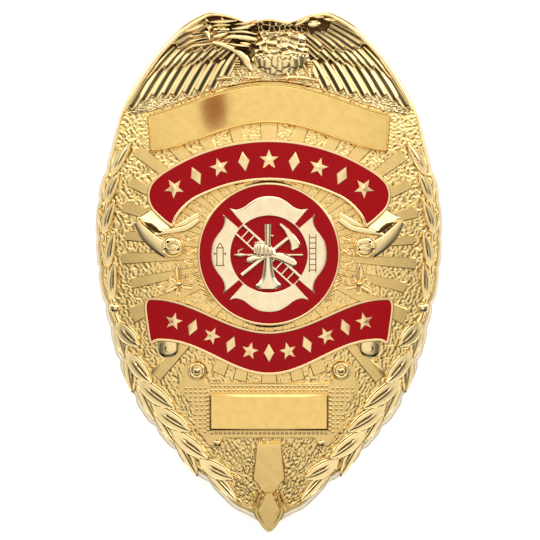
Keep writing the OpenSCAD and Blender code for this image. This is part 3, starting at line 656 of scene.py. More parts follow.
# Height of a leaf: a rounded rim, a dished face and a sharp groove along the midrib
def leafHeight(low, high):
    def height(s, c, length):
        a = np.abs(c)
        rim = bell((a - 0.84) / 0.13)
        groove = bell(c / 0.13) * unit((0.8 - s) / 0.15) * unit(s / 0.08)
        fall = unit((1 - a) / 0.12) ** 0.5
        ends = unit((1 - s) / 0.07) ** 0.5
        h = (0.72 + 0.28 * rim + 0.12 * (1 - a) - 0.42 * groove) * (0.45 + 0.55 * fall * ends)
        return low + (high - low) * h * (0.8 + 0.2 * s)
    return height


# How deep a laurel leaf's slit is: a narrow slot beside the midrib, from before the middle to near the tip
def slitDepth(s, c):
    ends = unit((s - 0.28) / 0.12) * unit((0.8 - s) / 0.25)
    return bell((c - 0.1 - 0.08 * s) / 0.06) * ends


# Height of a laurel leaf whose inner side is c = 1: a flat face that tilts, a rim, a slit and a narrow lens
# beside it
def laurelHeight(low, high):
    def height(s, c, length):
        a = np.abs(c)
        rim = bell((c - 0.9) / 0.07) - 0.6 * bell((c - 0.74) / 0.06)
        rim = rim + 0.6 * bell((c + 0.9) / 0.08)
        ends = unit((s - 0.22) / 0.2) * unit((1 - s) / 0.2)
        lens = bell((c + 0.08) / 0.15) * ends
        edge = unit((1 - a) / 0.1) ** 0.5 * unit((1 - s) / 0.06) ** 0.5
        h = 0.66 + 0.15 * rim + 0.13 * lens - 0.22 * slitDepth(s, c) - 0.1 * np.clip(c, -1, 1)
        return low + (high - low) * (0.3 + 0.7 * edge) * h * (0.82 + 0.3 * s)
    return height


# Laurel border: pairs of leaves on each side, the inner ones over the outer ones, with stem and knots
def laurelBorder():
    f = laurelForm
    nu, nv = 38, 29
    s = np.linspace(0, 1, nu)[:, None]
    c = acrossSteps(nv)[None]
    grids = []
    for part, up in (("up", 1), ("down", -1)):
        table = np.array(f[part])
        widths = f[part + "Width"]
        foot = stemAt(table[:, 0], table[:, 1])
        way = edgeWay(table[:, 0], up)
        for k, low, share, bow in f["layers"]:
            high = f["height"] * share
            direction = turned(way, up * table[:, 3 + 2 * k])
            leaf = bladeGrid(
                foot, direction, table[:, 2 + 2 * k], widths[k], f["form"],
                lambda s, c, length: laurelHeight(low, high)(s, c * up, length), f["foot"], nu, nv,
                bow=up * bow,
            )
            # Painted shade in each leaf's slit and along its edges
            hollow = unit(1.2 * slitDepth(s, c * up) + 0.6 * (np.abs(c) > 0.96))[None]
            grids += [(leaf, False, True, hollow), (mirrored(leaf), False, True, hollow)]
    height = np.linspace(*f["stemEnds"])
    stem = sweep(stemAt(height, np.interp(height, *f["stem"])), beadProfile(*f["stemBead"]))
    knot = studs(stemAt(*np.array(f["knot"])[:, None]), *f["knotDome"], around=20)
    grids += [stem, mirrored(stem), knot, mirrored(knot)]
    makePiece("laurel_border", grids, gold["carved"], "shield_body", sharp=30)


shieldShell()
stippledGround()
rays()
laurelBorder()
print("shield done")

panelForm = {
    "top": (4.45, 145), "foot": (4.15, 175), "height": 5.85, "bead": 0.44, "beadHeight": 0.16, "taper": 0.45,
    "bevel": 0.1, "faceFoot": 0.35, "beadFoot": 0.36,
}


# Fall of one of the panel's edges towards its ends, a share of one cosine wave
def panelFall(x, edge="top"):
    drop, swing = panelForm[edge]
    swing = np.radians(swing)
    wide = panelHigh[0] - panelLow[0]
    return drop * (1 - np.cos(swing * x * 2 / wide)) / (1 - np.cos(swing))


# Name panel: arched plate with a polished bead round it; the face's border is painted dark as the shade in
# the gap at the bead
def namePanel():
    f = panelForm
    half = panelHigh[0]
    top = panelHigh[1]
    x = np.linspace(-half, half, 90)
    high = xy(x, top - panelFall(x))
    lowX = x * (half - f["taper"]) / half
    low = xy(lowX, top - f["height"] - panelFall(lowX, "foot"))
    inset = [0, f["bevel"]]
    face = pad(low + inset, high - inset, levels["panel"], f["faceFoot"], f["bevel"], across=20, along=120)
    corners = np.vstack([high, low[::-1]])
    loop = evenly(corners, 640, closed=True)
    smooth = np.array([np.roll(loop, k, 0) for k in range(-3, 4)]).mean(0)
    inward = -leftOf(smooth, closed=True) * f["bead"] / 2
    profile = beadProfile(f["bead"], levels["panel"] + f["beadHeight"], f["beadFoot"], count=11, power=3)
    bead = sweep(smooth + inward, profile, closed=True)
    makePiece("name_panel_face", [(face, False, True, padEdgeShade(face))], gold["panel"], "name_panel")
    makePiece("name_panel_bead", [(bead, True, True)], gold["polished"], "name_panel")


upperForm = {
    "inner": 22.2, "height": 5.95, "angle": 43.6, "gap": 0.3,
    "end": [(1, 0.79), (0.96, 0.87), (0.85, 0.93), (0.7, 0.97), (0.47, 1), (0.2, 1), (-0.07, 0.99),
            (-0.22, 0.965), (-0.12, 0.88), (-0.04, 0.77), (0, 0.66)],
}
upperFoot = sealY + sealR + upperForm["gap"]
upperCentre = np.array([0, upperFoot - upperForm["inner"]])
lowerForm = {
    "half": 18.2, "height": 6.4, "rise": 4.9, "gap": 0.8, "topSwing": 0.936, "lowSwing": 0.852,
    "end": [(0.968, 0.985), (0.99, 0.9), (1, 0.7), (0.985, 0.22), (0.955, -0.36), (0.89, -0.31)],
}
lowerTop = sealY - sealR - lowerForm["gap"]
ribbonForm = {
    "rim": 0.42, "bed": 0.45, "enamel": 0.07, "foot": 0.4, "star": 1.5, "upperMotifs": (9, 0.19),
    "lowerMotifs": (11, 0.152), "lowerStar": 0.9,
}


# Point of the upper ribbon at a share of its height and of its end angle
def roundUpper(h, f):
    a = np.radians(f * upperForm["angle"])
    r = upperForm["inner"] + h * upperForm["height"]
    return upperCentre + xy(r * np.sin(a), r * np.cos(a))


# Point of the lower ribbon's edge: a cosine rise along its half length
def lowerEdge(h, f, swing):
    y = lowerTop - h * lowerForm["height"] + lowerForm["rise"] * (1 - np.cos(np.pi * f / swing)) / 2
    return xy(f * lowerForm["half"], y)


# A right half of an outline, joined to its mirror image and closed
def bothSides(half):
    keep = half[half[:, 0] > 0.001]
    return np.vstack([half, mirrored(keep)[::-1]])


# Upper ribbon's outline: two arcs about one centre, joined by the end's points
def upperOutline():
    e = np.array(upperForm["end"])
    top = roundUpper(1, np.linspace(0, 0.72, 9))
    low = roundUpper(0, np.linspace(0.56, 0, 8))
    return bothSides(np.vstack([top, roundUpper(e[:, 0], e[:, 1]), low]))


# Lower ribbon's outline: two cosine edges, joined by the end's points
def lowerOutline():
    e = np.array(lowerForm["end"])
    top = lowerEdge(0, np.linspace(0, lowerForm["topSwing"], 10), lowerForm["topSwing"])
    end = xy(e[:, 0] * lowerForm["half"], lowerTop + e[:, 1] * lowerForm["rise"])
    low = lowerEdge(1, np.linspace(0.837, 0, 10), lowerForm["lowSwing"])
    return bothSides(np.vstack([top, end, low]))


# A closed gold rim on the inside of an outline, softly rounded on top
def rimOf(loop, width, top, foot):
    n = inwardOf(loop)
    profile = [
        (0.0, foot), (0.0, top - 0.09), (0.06, top - 0.01), (0.14, top),
        (width - 0.1, top), (width - 0.03, top - 0.03), (width, top - 0.1), (width, foot),
    ]
    return np.array([onDome(loop + n * d, h) for d, h in profile])


# Enamel inside a ribbon: columns between its lower and upper edges, each edge read off the inset outline
def enamelFill(loop, inset, top, columns, rows, polar):
    inner = loop + inwardOf(loop) * inset
    if polar:
        d = inner - upperCentre
        u = np.arctan2(d[:, 0], d[:, 1])
        v = np.hypot(d[:, 0], d[:, 1])
    else:
        u, v = inner.T
    far = [u.argmin(), u.argmax()]
    a, b = min(far), max(far)
    around = xy(u, v)
    one = inOrder(around, slice(a, b + 1), 0)
    two = inOrder(np.vstack([around[b:], around[:a + 1]]), slice(None), 0)
    at = -np.cos(np.linspace(0, np.pi, columns)) * 0.5 + np.linspace(-1, 1, columns) * 0.5
    at = at * (u.max() - 0.0005 * (1 if polar else 20))
    v1 = np.interp(at, *one.T)
    v2 = np.interp(at, *two.T)
    share = np.linspace(0, 1, rows)
    v = v1[:, None] + (v2 - v1)[:, None] * share
    u = np.broadcast_to(at[:, None], v.shape)
    plan = upperCentre + xy(v * np.sin(u), v * np.cos(u)) if polar else xy(u, v)
    return onDome(plan, np.full(v.shape, top))


motifForm = {
    "star": [[r * np.sin(np.pi * i / 5), r * np.cos(np.pi * i / 5)] for i, r in enumerate([1, 0.42] * 5)],
    "lozenge": [(0, 1), (0.275, 0.5), (0.55, 0), (0.275, -0.5), (0, -1), (-0.275, -0.5), (-0.55, 0),
                (-0.275, 0.5), (-0.14, 0.75), (-0.001, 1)],
}


# Ring stacks with a star's or a lozenge's outline: foot, top edge, bevelled shoulder and middle
def motifs(centres, turns, kinds, radius, top, foot):
    stacks = []
    for centre, turn, kind in zip(centres, turns, kinds):
        form = np.array(motifForm["lozenge" if kind else "star"])
        peak = top + (0.07 if kind else 0.1)
        rings = [(1.0, foot), (1.0, top - 0.03), (0.9, top + 0.02), (0.45, top + 0.05), (0.0, peak)]
        stacks.append([onDome(turned(form * radius * s, turn) + centre, h) for s, h in rings])
    return np.array(stacks)


# Both ribbons: rim, enamel, and stars and lozenges in turn along the middle
def ribbons():
    f = ribbonForm
    top = levels["ribbon"]
    foot = top - f["bed"]
    loops = [("upper", upperOutline()), ("lower", lowerOutline())]
    loops = [(name, smoothCurve(loop, 560, closed=True)) for name, loop in loops]
    for name, loop in loops:
        rim = rimOf(loop, f["rim"], top, f["foot"])
        makePiece(name + "_ribbon_rim", [rim], gold["trim"], name + "_ribbon")
    for name, loop in loops:
        fill = enamelFill(loop, f["rim"] * 0.6, top - f["enamel"], 150, 26, name == "upper")
        makePiece(name + "_ribbon_enamel", [(fill, False, False)], redEnamel, name + "_enamel")
    count, pitch = f["upperMotifs"]
    i = np.arange(count)
    share = (i - count // 2) * pitch
    stacks = motifs(roundUpper(0.5, share), -share * upperForm["angle"], i % 2, f["star"], top, foot)
    makePiece("upper_ribbon_motifs", [stacks], gold["trim"], "upper_ribbon", sharp=20)
    count, pitch = f["lowerMotifs"]
    i = np.arange(count)
    share = (i - count // 2) * pitch
    edges = ((1, lowerForm["lowSwing"]), (0, lowerForm["topSwing"]))
    centres = sum(lowerEdge(side, share, swing) for side, swing in edges) / 2
    step = lowerEdge(0.5, share + 0.01, 0.9) - lowerEdge(0.5, share, 0.9)
    turns = np.degrees(np.arctan2(step[:, 1], step[:, 0]))
    stacks = motifs(centres, turns, i % 2, f["star"] * f["lowerStar"], top, foot)
    makePiece("lower_ribbon_motifs", [stacks], gold["trim"], "lower_ribbon", sharp=20)


namePanel()
ribbons()
print("panel and ribbons done")

sealForm = {
    "rim": 0.36, "bed": 0.45, "enamel": 0.07, "emblemDrop": 0.27, "corner": 8.9, "emblem": 5.57,
    "slotAngle": 4.2, "slotStart": 5.8,
    "arm": [(0, 0.948), (10, 0.938), (20, 0.897), (27, 0.87), (33, 0.88), (38, 0.925), (40.8, 0.99)],
}


# Points about the seal's middle from a radius and an angle from straight up
def aboutSeal(r, a, h):
    plan = xy(r * np.sin(a), sealY + r * np.cos(a))
    return onDome(plan, h)


# Cross: a polar ring whose outer reach is the arm's edge, and only the inner band's at the slots
def sealCross():
    f = sealForm
    top = levels["seal"]
    foot = top - f["bed"]
    corner = 45 - f["slotAngle"]
    arm = np.concatenate([[-corner], np.linspace(-corner + 0.4, corner - 0.4, 61), [corner]])
    reach = smoothTable(np.abs(arm), f["arm"]) * f["corner"]
    slot = np.linspace(corner, 90 - corner, 5)
    turns = [quarter * 90 + np.concatenate([arm, slot]) for quarter in range(4)]
    a = np.radians(np.concatenate(turns))[:, None]
    out = np.tile(np.concatenate([reach, [f["slotStart"]] * 5]), 4)[:, None]
    drop = np.tile([0.05] + [0] * 61 + [0.05] + [0] * 5, 4)[:, None]
    inner = f["emblem"]
    share = np.array([0, 0, 0.0, 0.0, 0.25, 0.5, 0.75, 1, 1, 1, 1])
    shift = np.array([0, 0, 0.04, 0.1, 0, 0, 0, -0.1, -0.04, 0, 0])
    h = np.array([foot, top - 0.09, top - 0.02, top, top, top, top, top, top - 0.02, top - 0.09, foot])
    r = inner + (out - inner) * share + shift
    makePiece("seal_cross", [(aboutSeal(r, a, h - drop), True, True)], gold["pale"], "seal_disc", sharp=30)


# Seal: turned rim, enamel ground, and a dished enamel circle under the tools
def seal():
    f = sealForm
    top = levels["seal"]
    a = np.radians(np.linspace(0, 360, 241)[:-1])[:, None]
    rim = np.array([
        (0, 0.4), (0, top - 0.12), (0.05, top - 0.03), (0.12, top), (f["rim"] - 0.1, top),
        (f["rim"] - 0.03, top - 0.03), (f["rim"], top - 0.1), (f["rim"], top - f["bed"]),
    ])
    makePiece("seal_rim", [(aboutSeal(sealR - rim[:, 0], a, rim[:, 1]), True, True)], gold["trim"],
              "seal_disc")
    for name, node, outer, inner, count, drop in (
        ("seal_enamel_ground", "seal_enamel", sealR - f["rim"] * 0.6, f["emblem"] + 0.05, 24, f["enamel"]),
        ("emblem_ground", "emblem_enamel", f["emblem"] + 0.05, 0.001, 20, f["emblemDrop"]),
    ):
        ground = aboutSeal(np.linspace(outer, inner, count), a, top - drop)
        makePiece(name, [(ground, True, False)], redEnamel, node)
    sealCross()


seal()
print("seal done")

crestForm = {
    "gap": 0.3, "base": 0.35, "barb": 0.27, "across": 21, "bow": 0.12, "depth": 0.5,
    "ground": {"half": 20.6, "from": 22.6, "inset": 0.2, "pebble": (0.56, 0.42, 5), "relief": 0.2,
               "wavesX": [(0.2, 0, 2)], "wavesY": [(0.2, 2.3, 0)]},
    "tiers": [
        {"tips": [(6.9, 27.7), (8.6, 26.5), (10.5, 25.95), (12.35, 25.6), (14.05, 25.35), (15.5, 25.5),
                  (16.95, 25.3), (18.7, 24.8), (20.4, 23.8)],
         "slope": (62, 57), "length": (4.6, 7.6), "width": 1.6, "low": 0.35, "high": 0.8, "rows": 130},
        {"tips": [(7.4, 31.2), (8.8, 30.85), (10.1, 30.65), (11.5, 30.45), (12.8, 30.2), (14.0, 29.85),
                  (15.3, 29.5), (16.8, 29.2), (18.2, 28.4)],
         "slope": (41, 50), "length": (3.4, 5.0), "width": 1.22, "low": 0.65, "high": 1.0, "rows": 92},
        {"tips": [(7.8, 32.4), (9.8, 32.4), (11.2, 32.3), (12.6, 32.4), (13.5, 32.9), (14.3, 33.5)],
         "slope": (40, 29), "length": (3.6, 6.0), "width": 1.2, "low": 0.95, "high": 1.3, "rows": 100},
    ],
    "feather": [(0, 0.7), (0.15, 0.85), (0.4, 0.98), (0.75, 1.0), (0.9, 0.9), (0.96, 0.68), (1, 0.2)],
    "ovals": [(4.85, 36.5, 2.5, 0.8, 26), (6.6, 36.2, 2.0, 1.15, 6), (7.3, 37.2, 1.7, 0.5, -2),
              (8.85, 36.8, 1.9, 0.6, -8)],
    "oval": [(0, 0.0), (0.12, 0.6), (0.35, 0.97), (0.6, 1.0), (0.85, 0.7), (1, 0.0)],
    "band": {"from": (3.1, 23.2), "insetAt": [3, 7, 10], "inset": [0.3, 0.42, 0.6], "rise": 0.3, "foot": -0.4,
             "wide": [0.12, 0.2, 0.28, 0.4, 0.44, 0.46, 0.46, 0.44, 0.4, 0.36, 0.3],
             "level": [0.75, 0.95, 1.05, 1.0, 0.8, 0.6]},
    "breast": (1.6, 33.3, 4.7, 4.4),
}


# Lower boundary of the crest's ground, a gap above the name panel
def crestLow(x):
    reach = panelHigh[0]
    inside = panelHigh[1] + crestForm["gap"] - panelFall(np.minimum(np.abs(x), reach))
    return inside - np.maximum(np.abs(x) - reach, 0) * 0.12


# Ground that the wings lie on: columns between the crest's lower boundary and the shield's top edge
def crestGround():
    f = crestForm["ground"]
    inner = edgeLoop + edgeIn * (stepWide + f["inset"])[:, None]
    upper = inOrder(inner, inner[:, 1] > f["from"], 0)
    x = np.linspace(-f["half"], f["half"], 270)[:, None]
    low = crestLow(x)
    high = np.interp(x, upper[:, 0], upper[:, 1])
    share = np.linspace(0, 1, 96)[None]
    y = low + (high - low) * share
    x = np.broadcast_to(x, y.shape)
    cell = pebbles(x + waves(x, y, f["wavesX"]), y + waves(x, y, f["wavesY"]), *f["pebble"])
    h = crestForm["base"] + f["relief"] * (cell - 0.4)
    h = np.where((share == 0) | (share == 1), -0.1, h)
    points = onDome(xy(x, y), h)
    # Painted shade: the low parts between the pebbles are darkened, and the ground above a line under the
    # head and shoulders is painted dark as the shade in the gaps between the relief over it
    hollow = unit(1.05 - 1.6 * cell) * 0.7 + 0.15
    hollow = np.maximum(hollow, unit((y - low - 2.2 + 0.04 * np.abs(x)) / 0.8))
    makePiece("crest_ground", [(points, False, False, hollow)], gold["carved"], "eagle_crest", sharp=0)


# Relief over a feather, 0 to 1: a smooth bar on its lower side and round the tip, a groove, then a vane that
# barbs cut, with a steep lower slope, 1 - 0.75 |v|, and a gentle upper one, 1 - 0.42 v
def featherRise(s, c, length):
    left = (1 - s) * length
    bar = np.sqrt(unit(1 - np.abs((c + 0.77) / 0.2) ** 3)) * 0.85
    tip = np.sqrt(unit(1 - np.abs((left - 0.18) / 0.18) ** 3)) * 0.85
    v = acrossVane(c)
    vane = (1 - np.where(v < 0, -0.75, 0.42) * v) * unit((left - 0.4) / 0.15) ** 0.5
    vane = np.where(np.abs(v) < 1, vane, 0)
    return np.maximum(np.maximum(bar, tip), vane - 0.05 * barbs(s, v, length))


# Place across a feather's vane, -1 to 1, from the place across the whole feather
def acrossVane(c):
    return (c - 0.2) / 0.74


# Barbs over a feather's vane: 1 in the cut between two of them, by a squared cosine
def barbs(s, v, length):
    return np.abs(np.cos(np.pi * (s * length / crestForm["barb"] + 0.3 * np.abs(v)))) ** 2


# Both wings: three tiers of feathers, the leading edge and the polished ovals at the shoulders
def wings():
    f = crestForm
    for number, tier in enumerate(f["tiers"]):
        tips = np.array(tier["tips"])
        n = len(tips)
        a = np.radians(np.linspace(*tier["slope"], n))
        length = np.linspace(*tier["length"], n)
        way = xy(np.cos(a), -np.sin(a))
        root = tips - way * length[:, None]
        rows = tier["rows"]
        low, high = tier["low"], tier["high"]
        feather = bladeGrid(
            root, way, length, tier["width"], f["feather"],
            lambda s, c, length: low + (high - low) * featherRise(s, c, length),
            low - f["depth"], rows, f["across"], bow=f["bow"],
        )
        # Painted shade: each feather's low parts, a band along one side of its vane and the cuts between its
        # barbs are darkened
        rise = (feather[..., 2] - domeHeight(feather[..., 0], feather[..., 1]) - low) / (high - low)
        c = acrossSteps(f["across"])
        cuts = barbs(bladeSteps(rows)[:, None], acrossVane(c), length[:, None, None])
        cuts = cuts * (np.abs(c - 0.2) < 0.7)
        shaded = 0.5 * (np.abs(c + 0.18) < 0.36)
        hollow = np.clip(np.maximum(1.05 - rise * 3.4, shaded + 0.85 * cuts - 0.1), 0, 0.93)
        grids = [(feather, False, True, hollow), (mirrored(feather), False, True, hollow)]
        makePiece("wing_feathers_" + str(number), grids, gold["carved"], "eagle_crest", sharp=0)
    t = np.array(f["ovals"])
    way = turned(np.array([[1.0, 0.0]]), t[:, 4])
    start = t[:, :2] - way * t[:, 2:3] / 2

    # A half round across and a flattened one along
    def ovalHeight(s, c, length):
        return 1.0 + 0.34 * unit(1 - c ** 2) ** 0.5 * unit(4 * s * (1 - s)) ** 0.3

    oval = bladeGrid(start, way, t[:, 2], t[:, 3], f["oval"], ovalHeight, 0.2, 26, 17)
    grids = [oval]
    b = f["band"]
    inset = np.interp(np.abs(edgeLoop[:, 0]), b["insetAt"], b["inset"])
    edge = edgeLoop + edgeIn * inset[:, None]
    right = inOrder(edge, (edge > b["from"]).all(1), 0)
    band = strap(right[::8], b["wide"], b["rise"], b["level"], foot=b["foot"], power=2.6, count=170)
    grids += [band, mirrored(band)]
    makePiece("wing_shoulders", grids, gold["carved"], "eagle_crest", sharp=30)


# Height of the breast's mound over the field, the cap of a ball stretched to two half widths
def moundHeight(x, y):
    cx, cy, rx, ry = crestForm["breast"]
    ry = np.where(y < cy, ry * 1.18, ry)
    d = ((x - cx) / rx) ** 2 + ((y - cy) / ry) ** 2
    return 0.5 + 1.25 * np.maximum(1.02 - d, 0.0) ** 0.75


# The breast's cells: pitches, seed and width of a crack; the heights of each zone's lines and hollows
breastForm = {
    "inset": 0.25, "scale": (1.06, 0.86, 12, 0.13), "net": (0.84, 0.8, 3, 0.16),
    "lobe": (0.98, 1.75, 21, 0.13),
    "wavesX": [(0.16, 0, 2.1), (0.1, 3.3, 1)], "wavesY": [(0.12, 1.9, 0)], "lobeWaves": [(0.2, 0, 1)],
    "sag": 0.035, "top": (34.9, 0.5), "thigh": (31.9, 0.6),
    "scaleHeights": (0.1, 0.28), "netHeights": (0.12, 0.5), "lobeHeights": (0.06, 0.08),
}


# Breast: a mound cut into scales; ridges between the cells, each cell deepest under its upper ridge,
# small pits at the top painted black as shade and long smooth thigh feathers at the bottom
def breastFeathers():
    f = breastForm
    cx, cy, rx, ry = crestForm["breast"]
    inner = edgeLoop + edgeIn * (stepWide + f["inset"])[:, None]
    upper = inOrder(inner, inner[:, 1] > 30, 0)
    across = np.sin(np.linspace(-np.pi / 2, np.pi / 2, 130))[:, None] * 0.999
    x = cx + rx * across
    reach = ry * np.sqrt(1 - across ** 2)
    low = cy - reach * 1.1
    high = np.minimum(cy + reach, np.interp(x, upper[:, 0], upper[:, 1]))
    share = np.linspace(0, 1, 125)[None]
    y = low + (high - low) * share
    x = np.broadcast_to(x, y.shape)
    wx = x + waves(x, y, f["wavesX"])
    wy = y + f["sag"] * (x - cx) ** 2 + waves(x, y, f["wavesY"])
    top = unit((y - f["top"][0]) / f["top"][1])
    thigh = unit((f["thigh"][0] - y) / f["thigh"][1])
    _, wayY, ridge = cracks(wx, wy, *f["scale"])
    scale = unit((wayY + 0.05) / 0.4) * (1 - ridge)
    _, _, net = cracks(wx, wy, *f["net"])
    distance, _, line = cracks(x + waves(x, y, f["lobeWaves"]), y, *f["lobe"])
    up, down = f["scaleHeights"]
    middle = up * ridge - down * scale
    up, down = f["netHeights"]
    pits = up * net - down * (1 - net)
    up, down = f["lobeHeights"]
    lobes = up * unit(1 - distance) - down * line
    relief = pits * top + (1 - top) * (middle * (1 - thigh) + lobes * thigh)
    # Painted shade: the scales' deep parts, the cracks between the thigh feathers and the pits at the top are
    # darkened
    hollow = unit(scale * 1.3 - 0.45) * (1 - thigh) + 0.45 * line * thigh
    hollow = (1 - net) * top + (1 - top) * hollow
    edge = (share == 0) | (share == 1) | (across < -0.998) | (across > 0.998)
    points = onDome(xy(x, y), np.where(edge, -0.1, moundHeight(x, y) + relief))
    grid = (points, False, False, unit(hollow))
    makePiece("breast_feathers", [grid], gold["carved"], "eagle_crest", sharp=0)


# Smooth lobes of the head, the neck and the left shoulder: path, half widths, rise and level
headLobes = [
    ([(-8.6, 36.44), (-6.8, 36.5), (-4.7, 36.6)], [0.1, 0.27, 0.22, 0.08], 0.2, 1.45),
    ([(-5.0, 36.1), (-3.4, 36.25), (-1.8, 36.75)], [0.06, 0.17, 0.18, 0.1], 0.2, 1.5),
    ([(-8.2, 35.85), (-7.2, 36.0), (-5.6, 35.98)], [0.12, 0.2, 0.18, 0.08], 0.2, 1.6),
    ([(-5.4, 35.4), (-3.8, 35.6), (-2.0, 36.15)], [0.1, 0.32, 0.36, 0.12], 0.22, 1.5),
    ([(-5.9, 34.92), (-3.8, 34.98), (-1.8, 34.62)], [0.1, 0.22, 0.22, 0.12], 0.26, 1.75),
    ([(-6.5, 34.0), (-5.5, 34.32), (-3.8, 34.22), (-1.9, 33.85)], [0.1, 0.42, 0.46, 0.42, 0.3], 0.24, 1.6),
    ([(-6.1, 33.3), (-4.7, 33.05), (-2.9, 32.8)], [0.06, 0.2, 0.22, 0.1], 0.24, 1.7),
    ([(-8.3, 33.5), (-6.5, 33.05), (-4.8, 32.3), (-3.65, 31.3), (-3.05, 30.1), (-2.4, 29.2)],
     [0.25, 0.4, 0.5, 0.62, 0.55, 0.15], 0.26, [1.45, 1.35, 1.25, 1.2, 0.95]),
    ([(-4.2, 33.4), (-3.3, 33.2), (-2.6, 33.1)], [0.1, 0.3, 0.1], 0.24, 1.55),
    ([(-8.1, 34.25), (-7.2, 34.5), (-5.8, 34.95)], [0.2, 0.42, 0.36, 0.08], 0.22, 1.55),
    ([(-8.35, 35.8), (-8.75, 35.62), (-9.0, 35.0), (-8.85, 34.4), (-8.6, 33.85)],
     [0.3, 0.42, 0.42, 0.3, 0.06], 0.3, 1.5),
    ([(-9.6, 36.05), (-11.0, 35.5), (-12.2, 35.0)], [0.2, 0.38, 0.34, 0.1], 0.25, 1.3),
    ([(-9.7, 34.7), (-10.75, 34.6), (-11.8, 34.3)], [0.2, 0.36, 0.34, 0.1], 0.25, 1.3),
    ([(-8.5, 33.85), (-9.6, 33.7), (-10.7, 33.4)], [0.1, 0.2, 0.2, 0.08], 0.22, 1.4),
    ([(-8.4, 33.35), (-9.8, 33.15), (-11.0, 33.0), (-12.3, 32.3)], [0.15, 0.26, 0.24, 0.1], 0.24, 1.3),
    ([(-9.2, 34.1), (-10.0, 34.0), (-11.4, 33.65), (-12.2, 33.2)], [0.1, 0.2, 0.26, 0.1], 0.22, 1.35),
    ([(-7.0, 37.1), (-6.8, 36.9), (-6.5, 36.7)], [0.08, 0.17, 0.08], 0.2, 1.0),
    ([(-9.3, 36.9), (-9.0, 36.7), (-8.8, 36.5)], [0.1, 0.2, 0.1], 0.2, 0.9),
]
# Flat domes of the face and its cheek: middle, half widths, rise and level
faceDomes = [(-7.0, 35.3, 1.35, 0.72, 0.5, 1.1), (-7.35, 35.45, 0.3, 0.22, 0.2, 1.55)]
# Claws and the arrows in them: path and half widths
clawLobes = [
    ([(1.2, 28.05), (3.2, 28.35), (5.4, 28.25), (7.2, 27.9)], [0.15, 0.36, 0.36, 0.3]),
    ([(-7.6, 28.05), (-6.6, 28.3), (-5.4, 28.25)], [0.25, 0.36, 0.2]),
    ([(-3.8, 28.4), (-2.6, 28.3), (-1.2, 28.35)], [0.2, 0.34, 0.2]),
    ([(5.9, 29.6), (5.9, 28.9), (6.0, 28.3)], [0.3, 0.3, 0.25]),
    ([(-4.7, 29.4), (-4.2, 28.6), (-4.3, 27.95)], [0.3, 0.25, 0.1]),
    ([(4.0, 29.1), (4.2, 28.4), (4.0, 27.95)], [0.3, 0.25, 0.1]),
    ([(2.6, 29.1), (2.8, 28.4), (2.6, 27.95)], [0.3, 0.25, 0.1]),
    ([(-2.9, 29.1), (-2.8, 28.4), (-3.0, 27.95)], [0.3, 0.25, 0.1]),
]
# Painted shadows as dark bars in the deep cuts of the head and neck, the eye first: path and half width
cutShadows = [
    ([(-9.5, 35.25), (-9.14, 35.38), (-8.8, 35.22)], 0.24),
    ([(-4.9, 34.72), (-3.5, 34.7), (-2.1, 34.5)], 0.1),
    ([(-5.7, 35.2), (-4.5, 35.15), (-3.3, 35.22)], 0.08),
    ([(-5.1, 32.62), (-4.0, 32.5), (-2.9, 32.35)], 0.12),
    ([(-5.5, 33.72), (-4.9, 33.68), (-4.4, 33.5)], 0.13),
    ([(-2.75, 35.85), (-2.35, 35.5), (-1.9, 35.1)], 0.2),
    ([(-2.75, 33.2), (-2.3, 33.0), (-1.8, 32.7)], 0.24),
    ([(-8.1, 35.3), (-7.0, 35.15), (-5.9, 35.25)], 0.07),
    ([(-11.3, 34.65), (-10.4, 34.72), (-9.6, 34.85)], 0.07),
    ([(-10.6, 33.65), (-9.6, 33.85), (-8.6, 33.8)], 0.06),
]
# Ribbed legs, stacks of short bars
legs = {
    "bar": [(-0.42, 0), (0, 0.05), (0.42, 0)], "at": (-4.6, 6.0), "rows": (28.9, 31.0, 0.36),
    "strap": (0.13, 0.2, 0.85), "foot": 0.2,
}


# A thin dark bar of painted shadow: nearly flat on top and marked with painted shade
def shadow(path, half, level, foot, count, power=6, shade=1.0):
    return strap(path, half, 0.02, level, foot=foot, power=power, count=count), False, True, shade


# Head turned to the viewer's left, smooth neck lobes, legs, and the claws on their arrows
def headAndClaws():
    grids = [
        strap(lobe, wide, rise, level, foot=0.2, power=2.4, count=44, across=13)
        for lobe, wide, rise, level in headLobes
    ]
    a = np.linspace(0, 2 * np.pi, 40, endpoint=False)[:, None]
    share = np.linspace(1.0, 0.001, 14)[None]
    for cx, cy, rx, ry, rise, level in faceDomes:
        plan = xy(cx + rx * share * np.cos(a), cy + ry * share * np.sin(a))
        grids.append((onDome(plan, level + rise * np.sqrt(unit(1 - share ** 2))), True, False))
    grids += [strap(lobe, wide, 0.35, 0.7, foot=0.1, count=26) for lobe, wide in clawLobes]
    grids += [
        strap(np.array(legs["bar"]) + [x, y], *legs["strap"], foot=legs["foot"], count=8)
        for x in legs["at"] for y in np.arange(*legs["rows"])
    ]
    makePiece("head_and_claws", grids, gold["carved"], "eagle_crest", sharp=0)
    # The eye and the deep cuts are dark bars of painted shadow
    pits = [shadow(line, [0.02, wide, wide, 0.03], 1.92, 1.2, 24, power=4) for line, wide in cutShadows]
    makePiece("eye_and_cut_shadows", pits, gold["line"], "eagle_crest", sharp=0)


crestGround()
wings()
breastFeathers()
headAndClaws()
print("crest done")

